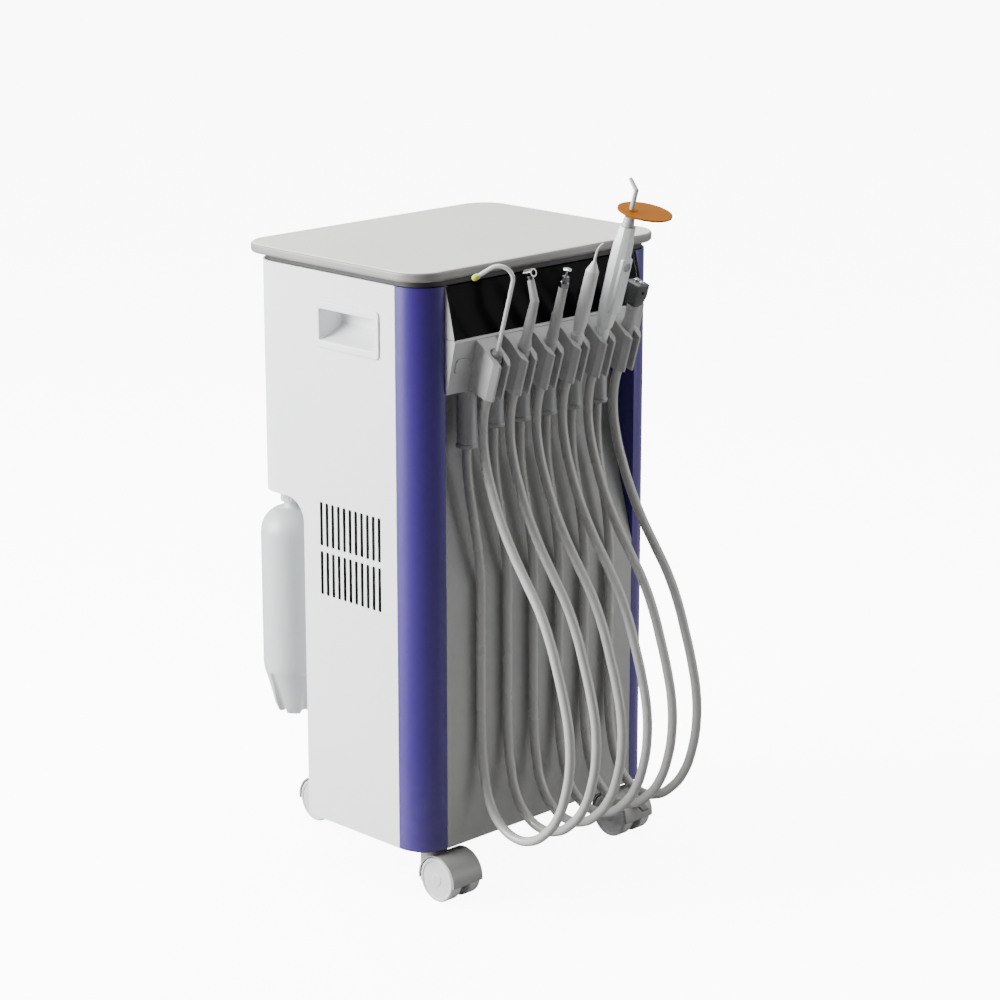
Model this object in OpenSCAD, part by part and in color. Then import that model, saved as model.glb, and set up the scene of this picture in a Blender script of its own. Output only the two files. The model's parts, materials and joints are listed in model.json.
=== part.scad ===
// Portable dental unit: a cabinet on four swivel casters with a worktop, a front console that
// holds six instruments on hanging hoses, and two water bottles hung in bays at the rear corners.
// The front faces -Y, +Z is up and the floor is z = 0. All sizes are in millimetres.

/* [Cabinet] */
// Width over the side panels
cabinet_w = 414; // [400:1:440]
// Depth from the front panel to the rear cover
cabinet_d = 308; // [296:1:330]
// Height of the panels
cabinet_h = 712; // [690:1:740]
// Height of the cabinet's underside above the floor
floor_gap = 67; // [66:1:80]
// How far the front panel stands ahead of the origin
front_reach = 115; // [105:0.5:120]
// Corner radius of the cabinet in plan
corner_r = 40; // [34:1:41]
// Thickness of the panels
panel_t = 2.5; // [2:0.1:3]

/* [Worktop] */
// Width of the worktop
worktop_w = 433; // [424:1:460]
// Depth of the worktop
worktop_d = 326; // [316:1:345]
// Thickness of the worktop
worktop_t = 12.5; // [11:0.5:16]
// Corner radius of the worktop in plan
worktop_r = 42; // [30:1:60]
// Radius along the worktop's top and bottom edges
worktop_edge_r = 4; // [2:0.5:5]
// How far the worktop reaches past the front panel
worktop_lip = 5; // [3:0.5:8]
// Thickness of the dark top plate, which shows as a shadow gap under the worktop
seal_h = 8; // [5:0.5:12]
// How far the top plate stands back from the cabinet's outline
seal_inset = 3; // [2:0.5:6]

/* [Columns] */
// Width of a corner column on the front
column_w = 41; // [41:0.5:48]
// Depth of a corner column on the side
column_d = 43.5; // [42:0.5:50]
// Wall of the column extrusion
column_t = 2.2; // [1.8:0.1:3]

/* [Front recess] */
// Height of the bend where the front panel turns back into the recess
recess_z = 402; // [380:1:420]
// Depth of the recess behind the front panel
recess_d = 40; // [34:1:42]
// Slope of the recess wall, degrees from upright
recess_slope = 15; // [13:0.5:18]

/* [Console] */
// How far the console's nose stands ahead of the front panel
nose_reach = 17; // [13:0.5:20]
// Distance of the nose below the top of the panels
nose_drop = 64; // [58:1:70]
// Height of the holder bar
bar_h = 68; // [64:1:72]
// How far the holder bar's lower edge stands ahead of the front panel
bar_foot_reach = 2; // [1:0.5:4]
// Wall of the holder bar
bar_wall = 3; // [2.5:0.5:4]
// Thickness of the console's end cheeks
cheek_t = 4.5; // [4:0.5:6]
// Thickness of the black fascia
fascia_t = 4; // [3:0.5:5]
// Width of the push button on the bar
button_w = 20; // [16:0.5:22]
// Height of the push button
button_h = 18; // [14:0.5:20]
// Travel of the push button
button_travel = 2; // [1.5:0.1:2.5]

/* [Instrument holders] */
// Number of instruments
instruments = 6; // [6]
// Distance between neighbouring instruments
holder_pitch = 46; // [42:0.5:48]
// Forward lean of the instruments in degrees
holder_lean = 16.3; // [15:0.1:17]
// Width of one holder
holder_w = 28; // [26:0.5:32]
// Reach of a holder ahead of its bore
holder_nose = 17; // [15:0.5:20]
// Radius of a holder's bore
holder_bore_r = 8.5; // [8:0.1:9]
// Width of the slot that lets the hose in from the front
holder_slot_w = 11; // [9:0.5:13]
// Clearance between an instrument and its holder
seat_gap = 0.4; // [0.3:0.05:0.6]
// Height of a holder along the instrument
holder_h = 64; // [58:1:66]

/* [Hoses] */
// Outer diameter of a hose
hose_d = 14; // [12:0.5:14]
// Diameter of a hose gland
gland_d = 25; // [20:0.5:27]
// Length of the first gland, which holds the suction valve
first_gland_l = 76; // [72:1:80]
// Length of the other glands
gland_l = 57; // [50:1:60]

/* [Handles and vents] */
// Distance from the front panel to the middle of the handle and of the vents
side_features_y = 128; // [120:1:135]
// Width of a flush handle's frame
handle_w = 115; // [108:1:125]
// Height of a flush handle's frame
handle_h = 59; // [55:1:66]
// Width of the handle's mouth
mouth_w = 99; // [90:1:104]
// Height of the handle's mouth
mouth_h = 39; // [34:1:44]
// Depth of the handle's pocket
pocket_d = 38; // [32:1:45]
// Distance of the handle's middle below the top of the panels
handle_drop = 65; // [58:1:75]
// Slots in each row of vents
vent_count = 11; // [7:1:11]
// Distance between neighbouring slots
vent_pitch = 10.6; // [9:0.1:11]
// Width of a slot
vent_w = 4; // [3:0.1:5]
// Length of a slot
vent_l = 56.5; // [50:0.5:60]
// Wall left between the two rows of slots
vent_gap = 7; // [5:0.5:12]
// Height of the lowest slot's end
vent_z = 368; // [350:1:380]

/* [Bottle bays] */
// Height of the underside that the bottles hang from
bay_z = 483.5; // [475:0.5:495]
// Depth of the lower cabinet in front of the bottles
lower_d = 214; // [205:1:218]
// Radius between the bay's front wall and its ceiling
bay_r = 30; // [24:1:34]
// Width of the spine between the two bays
spine_w = 224; // [215:1:228]
// Distance of a bottle's axis from the side and from the rear of the cabinet
bottle_inset = 35; // [33:1:40]

/* [Bottles] */
// Radius of a bottle
bottle_r = 43; // [38:0.5:44]
// Height of a bottle's foot above the floor
bottle_foot_z = 186; // [175:1:200]
// Radius of a bottle's neck
neck_r = 13; // [11:0.5:14]
// Outer radius of the fixed cap
cap_r = 17; // [16:0.5:19]
// Height of the fixed cap
cap_h = 17; // [14:0.5:20]
// Lobes of the bottle's foot
foot_lobes = 5; // [5]

/* [Casters] */
// Diameter of a wheel
wheel_d = 57; // [54:1:60]
// Width of one wheel of the pair
wheel_w = 18; // [16:0.5:20]
// Thickness of the web between the two wheels
web_t = 14; // [12:0.5:16]
// Distance from the swivel axis to the wheel's axle
trail = 30; // [27:0.5:31]
// Radius of the axle
axle_r = 3; // [2.5:0.1:4]
// Radius of the swivel stem
stem_r = 5.5; // [5:0.1:6]
// Half the distance between the front swivel axes
front_swivel_x = 157; // [150:0.5:157]
// Distance of the front swivel axes behind the front panel
front_swivel_y = 34; // [30:0.5:38]
// Half the distance between the rear swivel axes
rear_swivel_x = 81; // [76:0.5:84]
// Distance of the rear swivel axes ahead of the rear cover
rear_swivel_y = 19.5; // [19.5:0.5:24]
// Running clearance of axles, pins and stems
running_gap = 0.06; // [0.04:0.01:0.08]

/* [Hidden] */
$fn = 48;

// Outline of the cabinet and the heights that other pieces share
side_x = cabinet_w / 2;
front_y = -front_reach;
back_y = front_y + cabinet_d;
top_z = floor_gap + cabinet_h;
worktop_z = top_z + seal_h;
worktop_y = front_y - worktop_lip + worktop_d / 2;
joint_gap = 0.3;
cut = 1;

// The base plate stands back under the panels
plate_t = 5;
plate_inset = 11;
plate_z = floor_gap - plate_t;

// Front recess and console
bay_y = front_y + lower_d;
nose_z = top_z - nose_drop;
bar_z = nose_z - bar_h;
nose_round = 2;
bar_lean = atan((nose_reach - bar_foot_reach) / (bar_h - nose_round));
recess_y = front_y + recess_d;
recess_top_z = recess_z + recess_d / tan(recess_slope);
console_x = side_x - column_w - joint_gap;
fascia_foot_y = front_y - nose_reach + 3;
fascia_foot_z = nose_z + 2;
fascia_lean = 13;
fascia_h = top_z - joint_gap - fascia_foot_z;
fascia_top_y = fascia_foot_y + fascia_h * tan(fascia_lean);

// Holders: the axis of an instrument passes hold_y at the height hold_z
hold_y = front_y - 20;
hold_z = bar_z - 7;
holder_foot = 2;
holder_step = 18;
seat_r = holder_bore_r - seat_gap;
gland_y = front_y + 16;

// Push button on the left of the bar
button_x = -149;
button_up = 36;
button_depth = 6;
button_proud = 1.2;

// Bottles: their axes and heights
bottle_x = side_x - bottle_inset;
bottle_y = back_y - bottle_inset;
shoulder_z = bay_z - 58;
neck_foot_z = bay_z - 25;
neck_top_z = bay_z - 6;
foot_taper_z = bottle_foot_z + 66;

// Casters
wheel_r = wheel_d / 2;
wheels_w = 2 * wheel_w + web_t + 2 * joint_gap;
hood_gap = 1;
hood_t = 2;
hood_r = wheel_r + hood_gap + hood_t;
hood_top_z = plate_z - joint_gap;
boss_r = stem_r + 2.5;
boss_h = 22;

// Rear fittings
inlet_z = 128;
inlet_w = 52;
inlet_h = 58;
switch_w = 14;
switch_h = 20;
switch_up = 15;

// Colours
white = "#e3e5e5";
purple = "#4a49a8";
grey = "#9b9c99";
steel = "#b9bcc0";
black = "#101012";

// The hoses hang in six parallel upright planes. Each point is [distance ahead of the front
// panel, height]: from the gland down the panel, round the free loop near the floor, and up
// again to the end of the instrument.
hose_route = [
    [-16, 552], [-12, 518], [-4, 480], [4, 440], [8, 400], [8, 360], [8, 320], [8, 280], [8, 240],
    [9, 200], [13, 160], [24, 120], [42, 97], [68, 86], [96, 90], [122, 108], [142, 134],
    [155, 168], [161, 204], [160, 242], [152, 280], [140, 318], [126, 356], [109, 389], [87, 420],
    [64, 452], [44, 486], [28, 522], [17, 556], [12, 590], [14, 618], [20, 640]
];

// ---- Shapes that several pieces share ----

// Extrudes a side view, drawn as [y, z], along X from the given start
module side_view(start, length) {
    translate([start, 0, 0])
        rotate([90, 0, 90])
            linear_extrude(length)
                children();
}

// Extrudes a front view, drawn as [x, z], along +Y from the given start
module front_view(start, length) {
    translate([0, start + length, 0])
        rotate([90, 0, 0])
            linear_extrude(length)
                children();
}

module rounded_rect(w, h, r) {
    square([w - 2 * r, h], center = true);
    square([w, h - 2 * r], center = true);
    for (sx = [-1, 1], sy = [-1, 1])
        translate([sx * (w / 2 - r), sy * (h / 2 - r)])
            circle(r);
}

// Slot with round ends, standing up from its lower end
module upright_slot(w, l) {
    translate([-w / 2, w / 2])
        square([w, l - w]);
    translate([0, w / 2])
        circle(w / 2);
    translate([0, l - w / 2])
        circle(w / 2);
}

// Upright cylinder between two heights
module cylinder_from(r, from, to) {
    translate([0, 0, from])
        cylinder(r = r, h = to - from);
}

module on_both_sides() {
    children();
    mirror([1, 0, 0])
        children();
}

// Cabinet outline in plan, drawn in by the given distance
module cabinet_plan(inset) {
    translate([0, (front_y + back_y) / 2])
        rounded_rect(cabinet_w - 2 * inset, cabinet_d - 2 * inset, corner_r - inset);
}

// ---- Worktop ----

// Section through the worktop's edge, from the corner's centre out to its rounded rim
module worktop_edge_section(reach) {
    square([reach - worktop_edge_r, worktop_t]);
    translate([0, worktop_edge_r])
        square([reach, worktop_t - 2 * worktop_edge_r]);
    for (z = [worktop_edge_r, worktop_t - worktop_edge_r])
        translate([reach - worktop_edge_r, z])
            circle(worktop_edge_r);
}

module worktop() {
    flat_w = worktop_w - 2 * worktop_r;
    flat_d = worktop_d - 2 * worktop_r;
    color("#d9d7d2")
        translate([0, worktop_y, worktop_z]) {
            translate([-flat_w / 2, -flat_d / 2, 0])
                cube([flat_w, flat_d, worktop_t]);
            for (turn = [0, 180]) {
                rotate([0, 0, turn])
                    translate([flat_w / 2, flat_d / 2, 0])
                        rotate([90, 0, 0])
                            linear_extrude(flat_d)
                                worktop_edge_section(worktop_r);
                rotate([0, 0, turn + 90])
                    translate([flat_d / 2, flat_w / 2, 0])
                        rotate([90, 0, 0])
                            linear_extrude(flat_w)
                                worktop_edge_section(worktop_r);
            }
            for (sx = [-1, 1], sy = [-1, 1])
                translate([sx * flat_w / 2, sy * flat_d / 2, 0])
                    rotate([0, 0, sx > 0 ? (sy > 0 ? 0 : 270) : (sy > 0 ? 90 : 180)])
                        rotate_extrude(angle = 90, $fn = 96)
                            worktop_edge_section(worktop_r);
        }
}

module top_plate() {
    color("#2b2c2f")
        translate([0, 0, top_z])
            linear_extrude(seal_h)
                cabinet_plan(seal_inset);
}

// ---- Side panels ----

// Side view of the cabinet: full depth above the bottle bay, cut back below it
module side_outline() {
    difference() {
        translate([front_y - cut, floor_gap])
            square([cabinet_d + 2 * cut, cabinet_h]);
        translate([bay_y, floor_gap - cut])
            square([cabinet_d, bay_z - bay_r - floor_gap + cut]);
        translate([bay_y + bay_r, floor_gap - cut])
            square([cabinet_d, bay_z - floor_gap + cut]);
        translate([bay_y + bay_r, bay_z - bay_r])
            circle(bay_r);
    }
}

module handle_opening(gap) {
    translate([front_y + side_features_y, top_z - handle_drop])
        square([mouth_w + 2 * panel_t + 2 * gap, mouth_h + 2 * panel_t + 2 * gap], center = true);
}

module vents() {
    for (i = [0:vent_count - 1], row = [0, 1])
        translate([
            front_y + side_features_y + (i - (vent_count - 1) / 2) * vent_pitch,
            vent_z + row * (vent_l + vent_gap)
        ])
            upright_slot(vent_w, vent_l);
}

module side_panel() {
    difference() {
        intersection() {
            translate([0, 0, floor_gap])
                linear_extrude(cabinet_h)
                    difference() {
                        cabinet_plan(0);
                        cabinet_plan(panel_t);
                        translate([-side_x - cut, front_y - cut])
                            square([cabinet_w + 2 * cut, column_d + joint_gap + cut]);
                        translate([-side_x + corner_r + 10, front_y - cut])
                            square([cabinet_w, cabinet_d + 2 * cut]);
                    }
            side_view(-side_x - cut, cabinet_w)
                side_outline();
        }
        side_view(-side_x - cut, panel_t + 2 * cut)
            handle_opening(joint_gap);
        side_view(-side_x - cut, panel_t + 2 * cut)
            vents();
    }
}

module side_panel_left() {
    color(white)
        side_panel();
}

module side_panel_right() {
    color(white)
        mirror([1, 0, 0])
            side_panel();
}

// ---- Flush handles ----

module carry_handles() {
    color(white)
        on_both_sides()
            translate([-side_x, front_y + side_features_y, top_z - handle_drop])
                flush_handle();
}

// Frame on the panel and a pocket behind it, whose floor rises towards the back
module flush_handle() {
    frame_proud = 2.2;
    frame_r = 6;
    ramp = 15;
    back_x = pocket_d - panel_t;
    difference() {
        union() {
            side_view(-frame_proud, frame_proud)
                rounded_rect(handle_w, handle_h, frame_r);
            side_view(-frame_proud / 2, pocket_d + frame_proud / 2)
                square([mouth_w + 2 * panel_t, mouth_h + 2 * panel_t], center = true);
        }
        front_view(-mouth_w / 2, mouth_w)
            polygon([
                [-frame_proud - cut, -mouth_h / 2], [0, -mouth_h / 2],
                [back_x * 0.45, -mouth_h / 2 + ramp * 0.3], [back_x * 0.8, -mouth_h / 2 + ramp * 0.75],
                [back_x, -mouth_h / 2 + ramp], [back_x, mouth_h / 2 - 3], [back_x - 3, mouth_h / 2],
                [-frame_proud - cut, mouth_h / 2]
            ]);
    }
}

// ---- Corner columns ----

module column_section(w, d, r) {
    difference() {
        square([w, d]);
        difference() {
            translate([-cut, -cut])
                square([r + cut, r + cut]);
            translate([r, r])
                circle(r);
        }
    }
}

// Hollow extrusion with a quarter-round outside, an inner rib and two screw channels
module column() {
    translate([-side_x, front_y, floor_gap])
        linear_extrude(cabinet_h) {
            difference() {
                column_section(column_w, column_d, corner_r);
                translate([column_t, column_t])
                    column_section(
                        column_w - 2 * column_t, column_d - 2 * column_t, corner_r - column_t);
            }
            for (at = [[column_w - 6, column_d / 2], [column_w / 2, column_d - 6]])
                translate(at)
                    difference() {
                        circle(4.2);
                        circle(2.1);
                    }
        }
}

module column_left() {
    color(purple)
        column();
}

module column_right() {
    color(purple)
        mirror([1, 0, 0])
            column();
}

// ---- Front panel with its recess ----

// One bent sheet: flush below, sloping back into the recess, upright behind the glands
module front_panel() {
    bend_in = panel_t * tan(recess_slope / 2);
    color("#b9b9b6")
        side_view(-console_x, 2 * console_x)
            polygon([
                [front_y, floor_gap], [front_y, recess_z], [recess_y, recess_top_z],
                [recess_y, bar_z - joint_gap], [recess_y + panel_t, bar_z - joint_gap],
                [recess_y + panel_t, recess_top_z - bend_in],
                [front_y + panel_t, recess_z - bend_in], [front_y + panel_t, floor_gap]
            ]);
}

// ---- Console ----

// End cheeks that carry the fascia, joined by a rail under the worktop and a shelf on the bar
module console_frame() {
    lead = 1.5;
    color("#d4d6d8") {
        for (start = [-console_x, console_x - cheek_t])
            side_view(start, cheek_t)
                polygon([
                    [recess_y, nose_z + joint_gap], [recess_y, top_z],
                    [fascia_top_y - lead, top_z], [fascia_foot_y - lead, fascia_foot_z],
                    [fascia_foot_y - lead, nose_z + joint_gap]
                ]);
        side_view(-console_x, 2 * console_x)
            polygon([
                [recess_y - 12, top_z - 8], [recess_y - 12, top_z], [recess_y, top_z],
                [recess_y, nose_z + joint_gap], [recess_y - 3, nose_z + joint_gap],
                [recess_y - 3, top_z - 8]
            ]);
    }
}

module control_fascia() {
    half_w = console_x - cheek_t - joint_gap;
    color(black)
        side_view(-half_w, 2 * half_w)
            polygon([
                [fascia_foot_y, fascia_foot_z - 1.5], [fascia_top_y, top_z - joint_gap],
                [fascia_top_y + fascia_t, top_z - joint_gap],
                [fascia_foot_y + fascia_t, fascia_foot_z - 1.5]
            ]);
}

// Side view of the holder bar: a leaning face under a rounded nose, and a ledge on top
module bar_outline(wall) {
    polygon([
        [front_y - bar_foot_reach + wall, bar_z + wall],
        [front_y - nose_reach + wall, nose_z - wall - nose_round],
        [front_y - nose_reach + wall + nose_round, nose_z - wall],
        [recess_y - wall, nose_z - wall], [recess_y - wall, bar_z + wall]
    ]);
}

// Places children on the bar's leaning face: local Z points out, local Y runs up the face
module on_bar_face(x, up) {
    translate([x, front_y - bar_foot_reach, bar_z])
        rotate([90 + bar_lean, 0, 0])
            translate([0, up, 0])
                children();
}

module holder_bar() {
    pocket = button_depth + bar_wall;
    color("#c3c5c4")
        difference() {
            union() {
                difference() {
                    side_view(-console_x, 2 * console_x)
                        bar_outline(0);
                    side_view(-console_x + cheek_t, 2 * console_x - 2 * cheek_t)
                        bar_outline(bar_wall);
                }
                on_bar_face(button_x, button_up)
                    translate([0, 0, -pocket])
                        linear_extrude(pocket - bar_wall / 2)
                            square([button_w + 5, button_h + 5], center = true);
            }
            on_bar_face(button_x, button_up)
                translate([0, 0, -button_depth])
                    linear_extrude(pocket + cut)
                        rounded_rect(button_w + 2 * joint_gap, button_h + 2 * joint_gap, 5);
        }
}

// Domed push button that travels into its pocket in the bar
module bar_button() {
    skirt = button_depth - button_travel - joint_gap;
    color("#d7d9d8")
        on_bar_face(button_x, button_up)
            difference() {
                translate([0, 0, -skirt])
                    linear_extrude(skirt + button_proud)
                        rounded_rect(button_w, button_h, 5 - joint_gap);
                translate([0, 0, button_proud + 38.4])
                    sphere(39, $fn = 96);
            }
}

// ---- Instrument holders ----

function holder_x(i) = (i - (instruments - 1) / 2) * holder_pitch;

// Local Z runs up along instrument i from the end of its hose; local -Y is its front
module on_instrument(i) {
    translate([holder_x(i), hold_y, hold_z])
        rotate([holder_lean, 0, 0])
            children();
}

// Plan of a holder: two prongs with cut corners round a bore, flared where it meets the bar
module holder_plan() {
    root_y = 32;
    difference() {
        union() {
            polygon([
                [-holder_w / 2 + 5, -holder_nose], [holder_w / 2 - 5, -holder_nose],
                [holder_w / 2, -holder_nose + 7], [holder_w / 2, root_y],
                [-holder_w / 2, root_y], [-holder_w / 2, -holder_nose + 7]
            ]);
            polygon([
                [-holder_w / 2, 12], [holder_w / 2, 12], [holder_w / 2 + 4, root_y],
                [-holder_w / 2 - 4, root_y]
            ]);
        }
        circle(holder_bore_r);
        translate([-holder_slot_w / 2, -holder_nose - cut])
            square([holder_slot_w, holder_nose + cut]);
    }
}

module instrument_holders() {
    color("#c9cbca")
        difference() {
            for (i = [0:instruments - 1])
                on_instrument(i)
                    difference() {
                        translate([0, 0, holder_foot])
                            linear_extrude(holder_h + 6)
                                holder_plan();
                        side_view(-holder_w, 2 * holder_w)
                            polygon([
                                [-holder_nose - 2, holder_foot + holder_h - holder_step],
                                [22, holder_foot + holder_h + 2], [60, holder_foot + holder_h + 2],
                                [60, holder_foot + holder_h + 60],
                                [-holder_nose - 2, holder_foot + holder_h + 60]
                            ]);
                    }
            side_view(-console_x - cut, 2 * console_x + 2 * cut)
                polygon([
                    [front_y - bar_foot_reach + bar_h * tan(bar_lean), bar_z - bar_h],
                    [front_y - bar_foot_reach - 2 * bar_h * tan(bar_lean), bar_z + 2 * bar_h],
                    [back_y, bar_z + 2 * bar_h], [back_y, bar_z - bar_h]
                ]);
        }
}

// ---- Hose glands and hoses ----

function gland_length(i) = i == 0 ? first_gland_l : gland_l;

// Turned sleeves under the bar, each with a rim and a tapered mouth that the hose leaves
module hose_glands() {
    r = gland_d / 2;
    color("#a9aaad")
        for (i = [0:instruments - 1])
            translate([holder_x(i), gland_y, bar_z])
                mirror([0, 0, 1])
                    rotate_extrude()
                        polygon([
                            [0, 0], [r, 0], [r, gland_length(i) - 6],
                            [r + 1, gland_length(i) - 5], [r + 1, gland_length(i) - 1.5],
                            [r, gland_length(i)], [0, gland_length(i)]
                        ]);
}

// Ring of a hose at one point of its route, square to the direction given as [dy, dz]
function hose_ring(x, at, way, sides) =
    let (l = norm(way), dy = way[0] / l, dz = way[1] / l)
    [for (k = [0:sides - 1])
        let (a = 360 * (k + 0.5) / sides, across = hose_d / 2 * cos(a), out = hose_d / 2 * sin(a))
        [x + across, at[0] + out * dz, at[1] - out * dy]];

module hose(i) {
    sides = 8;
    hanging = [for (at = hose_route) [front_y - at[0], at[1]]];
    route = concat([[gland_y, bar_z - gland_length(i)]], hanging);
    last = len(route) - 1;
    lean_way = [-sin(holder_lean), cos(holder_lean)];
    ways = [for (k = [0:last])
        k == 0 ? [0, -1] : k == last ? lean_way : route[k + 1] - route[k - 1]];
    rings = [for (k = [0:last]) each hose_ring(holder_x(i), route[k], ways[k], sides)];
    walls = [for (k = [0:last - 1], s = [0:sides - 1])
        let (a = k * sides + s, b = k * sides + (s + 1) % sides)
        each [[a, b, b + sides], [a, b + sides, a + sides]]];
    ends = [
        [for (s = [sides - 1:-1:0]) s],
        [for (s = [0:sides - 1]) last * sides + s]
    ];
    color("#b3b4b2")
        polyhedron(points = rings, faces = concat(walls, ends));
}

module hose_1() { hose(0); }
module hose_2() { hose(1); }
module hose_3() { hose(2); }
module hose_4() { hose(3); }
module hose_5() { hose(4); }
module hose_6() { hose(5); }

// ---- Saliva ejector ----

ejector_l = 62;
ejector_tube_r = 3.3;
ejector_bend_at = 152;
ejector_bend_r = 17;
ejector_sweep = 135;
ejector_end = 18;
ejector_turn = 135;

module ejector_valve() {
    color(grey)
        on_instrument(0)
            rotate_extrude()
                polygon([
                    [0, 0], [seat_r, 0], [seat_r, ejector_l - 12], [seat_r - 0.8, ejector_l - 11],
                    [seat_r - 0.8, ejector_l - 3], [seat_r - 3, ejector_l], [0, ejector_l]
                ]);
}

// Plastic tube bent over at the top like a walking stick
module ejector_tube() {
    color("#dfe2e0")
        on_instrument(0)
            rotate([0, 0, ejector_turn]) {
                translate([0, 0, ejector_l])
                    cylinder(r = ejector_tube_r, h = ejector_bend_at - ejector_l);
                translate([ejector_bend_r, 0, ejector_bend_at])
                    rotate([90, 0, 0])
                        rotate([0, 0, 180 - ejector_sweep])
                            rotate_extrude(angle = ejector_sweep)
                                translate([ejector_bend_r, 0])
                                    circle(ejector_tube_r);
                at_ejector_end()
                    cylinder(r = ejector_tube_r, h = ejector_end);
            }
}

// Local Z points down along the tube's free end
module at_ejector_end() {
    translate([ejector_bend_r, 0, ejector_bend_at])
        rotate([0, ejector_sweep, 0])
            translate([-ejector_bend_r, 0, 0])
                children();
}

module ejector_tip() {
    color("#c8d32c")
        on_instrument(0)
            rotate([0, 0, ejector_turn])
                at_ejector_end()
                    translate([0, 0, ejector_end])
                        rotate_extrude()
                            polygon([
                                [0, 0], [3.6, 0], [4.6, 1.5], [4.8, 6], [3.8, 8.5], [0, 9]
                            ]);
}

// ---- High-speed turbine handpiece ----

turbine_bend_at = 120;
turbine_bend = 31;
turbine_neck = 26;

module turbine_sleeve() {
    color("#a7a8a6")
        on_instrument(1) {
            rotate_extrude()
                polygon([
                    [0, 0], [seat_r, 0], [seat_r, 52], [seat_r - 0.7, 53], [seat_r - 0.7, 58],
                    [seat_r - 0.2, 59], [seat_r - 0.2, 66], [6.2, 72], [6.6, 90],
                    [5.4, turbine_bend_at], [0, turbine_bend_at]
                ]);
            translate([0, 0, turbine_bend_at]) {
                sphere(5.4);
                rotate([-turbine_bend, 0, 0])
                    cylinder(r1 = 5.4, r2 = 4.3, h = turbine_neck);
            }
        }
}

// Chrome head across the end of the neck, open below for the bur
module turbine_head() {
    color("#d5d7da")
        on_instrument(1)
            translate([0, 0, turbine_bend_at])
                rotate([-turbine_bend, 0, 0])
                    translate([0, 0, turbine_neck])
                        difference() {
                            union() {
                                cylinder(r1 = 4.3, r2 = 4.8, h = 4);
                                translate([0, -7, 8])
                                    rotate([-90, 0, 0])
                                        cylinder(r = 5.4, h = 13);
                                translate([0, 6, 8])
                                    rotate([-90, 0, 0])
                                        cylinder(r1 = 5.4, r2 = 4, h = 1.6);
                            }
                            translate([0, -8, 8])
                                rotate([-90, 0, 0])
                                    cylinder(r = 3.4, h = 5);
                        }
}

// ---- Straight handpiece with a polishing disc ----

motor_l = 132;
chuck_l = 14;
mandrel_r = 1.2;

module motor_sleeve() {
    color("#a7a8a6")
        on_instrument(2)
            rotate_extrude()
                polygon([
                    [0, 0], [seat_r, 0], [seat_r, 60], [seat_r - 0.6, 61], [seat_r - 0.6, 70],
                    [6.9, 74], [6.9, 96], [6.3, 98], [5.6, motor_l], [0, motor_l]
                ]);
}

module motor_chuck() {
    color("#d5d7da")
        on_instrument(2)
            translate([0, 0, motor_l])
                difference() {
                    rotate_extrude()
                        polygon([
                            [0, 0], [5.6, 0], [6, 1], [6, 6], [5, 8], [4.2, chuck_l], [0, chuck_l]
                        ]);
                    translate([0, 0, 2])
                        cylinder(r = mandrel_r + running_gap, h = chuck_l);
                }
}

module polishing_disc() {
    color("#c9cbce")
        on_instrument(2)
            translate([0, 0, motor_l + 2 + joint_gap])
                rotate_extrude()
                    polygon([
                        [0, 0], [mandrel_r, 0], [mandrel_r, 19.5], [4.6, 20], [5.2, 20.6],
                        [5.2, 21.6], [1.8, 22], [1.8, 22.8], [0, 22.8]
                    ]);
}

// ---- Ultrasonic scaler ----

scaler_l = 146;
scaler_cone = 14;

module scaler_sleeve() {
    color("#c4c6c5")
        on_instrument(3)
            rotate_extrude()
                polygon([
                    [0, 0], [seat_r, 0], [seat_r, 62], [seat_r - 0.8, 64], [seat_r - 0.8, 70],
                    [8.4, 76], [8.9, 110], [8.2, scaler_l], [0, scaler_l]
                ]);
}

// Cone that screws on, and a thin tip that curves forward
module scaler_tip() {
    tip_r = 9;
    color("#d8dadd")
        on_instrument(3)
            translate([0, 0, scaler_l]) {
                cylinder(r1 = 8, r2 = 1.6, h = scaler_cone);
                translate([0, 0, scaler_cone])
                    cylinder(r1 = 1.6, r2 = 1.1, h = 9);
                translate([0, -tip_r, scaler_cone + 9])
                    rotate([90, 0, 90])
                        rotate_extrude(angle = 55)
                            translate([tip_r, 0])
                                circle(1.1);
            }
}

// ---- Curing light ----

light_l = 200;
light_collar = 12;
light_pin_r = 4;
light_pin_l = 9;
light_rod_r = 3;
light_bend_at = 247;
light_bend = 52;
trigger_at = 150;
trigger_r = 5.5;
trigger_travel = 1.5;
shield_at = 219;

// Body with flat flanks: two outlines crossed, and rounded by a cylinder
module light_body() {
    grip_at = 70;
    color("#e6e8e8")
        on_instrument(4)
            difference() {
                union() {
                    cylinder(r = seat_r, h = grip_at + 1);
                    intersection() {
                        front_view(-20, 40)
                            polygon([
                                [-8.5, grip_at], [8.5, grip_at], [14.5, grip_at + 34],
                                [14, grip_at + 80], [11, light_l], [-11, light_l],
                                [-14, grip_at + 80], [-14.5, grip_at + 34]
                            ]);
                        side_view(-20, 40)
                            polygon([
                                [-8.5, grip_at], [8.5, grip_at], [12, grip_at + 40],
                                [11.5, grip_at + 95], [9, light_l], [-9.5, light_l],
                                [-12.5, grip_at + 70], [-12, grip_at + 36]
                            ]);
                        translate([0, 0, grip_at])
                            cylinder(r = 16, h = light_l - grip_at, $fn = 96);
                    }
                }
                translate([0, 0, light_l - light_pin_l - joint_gap])
                    cylinder(r = light_pin_r + running_gap, h = light_pin_l + cut);
                translate([0, -20, trigger_at])
                    rotate([-90, 0, 0])
                        cylinder(r = trigger_r + joint_gap, h = 12.5);
            }
}

module light_trigger() {
    color("#8f9192")
        on_instrument(4)
            translate([0, -13, trigger_at])
                rotate([-90, 0, 0])
                    cylinder(r = trigger_r, h = 3.5);
}

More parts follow.
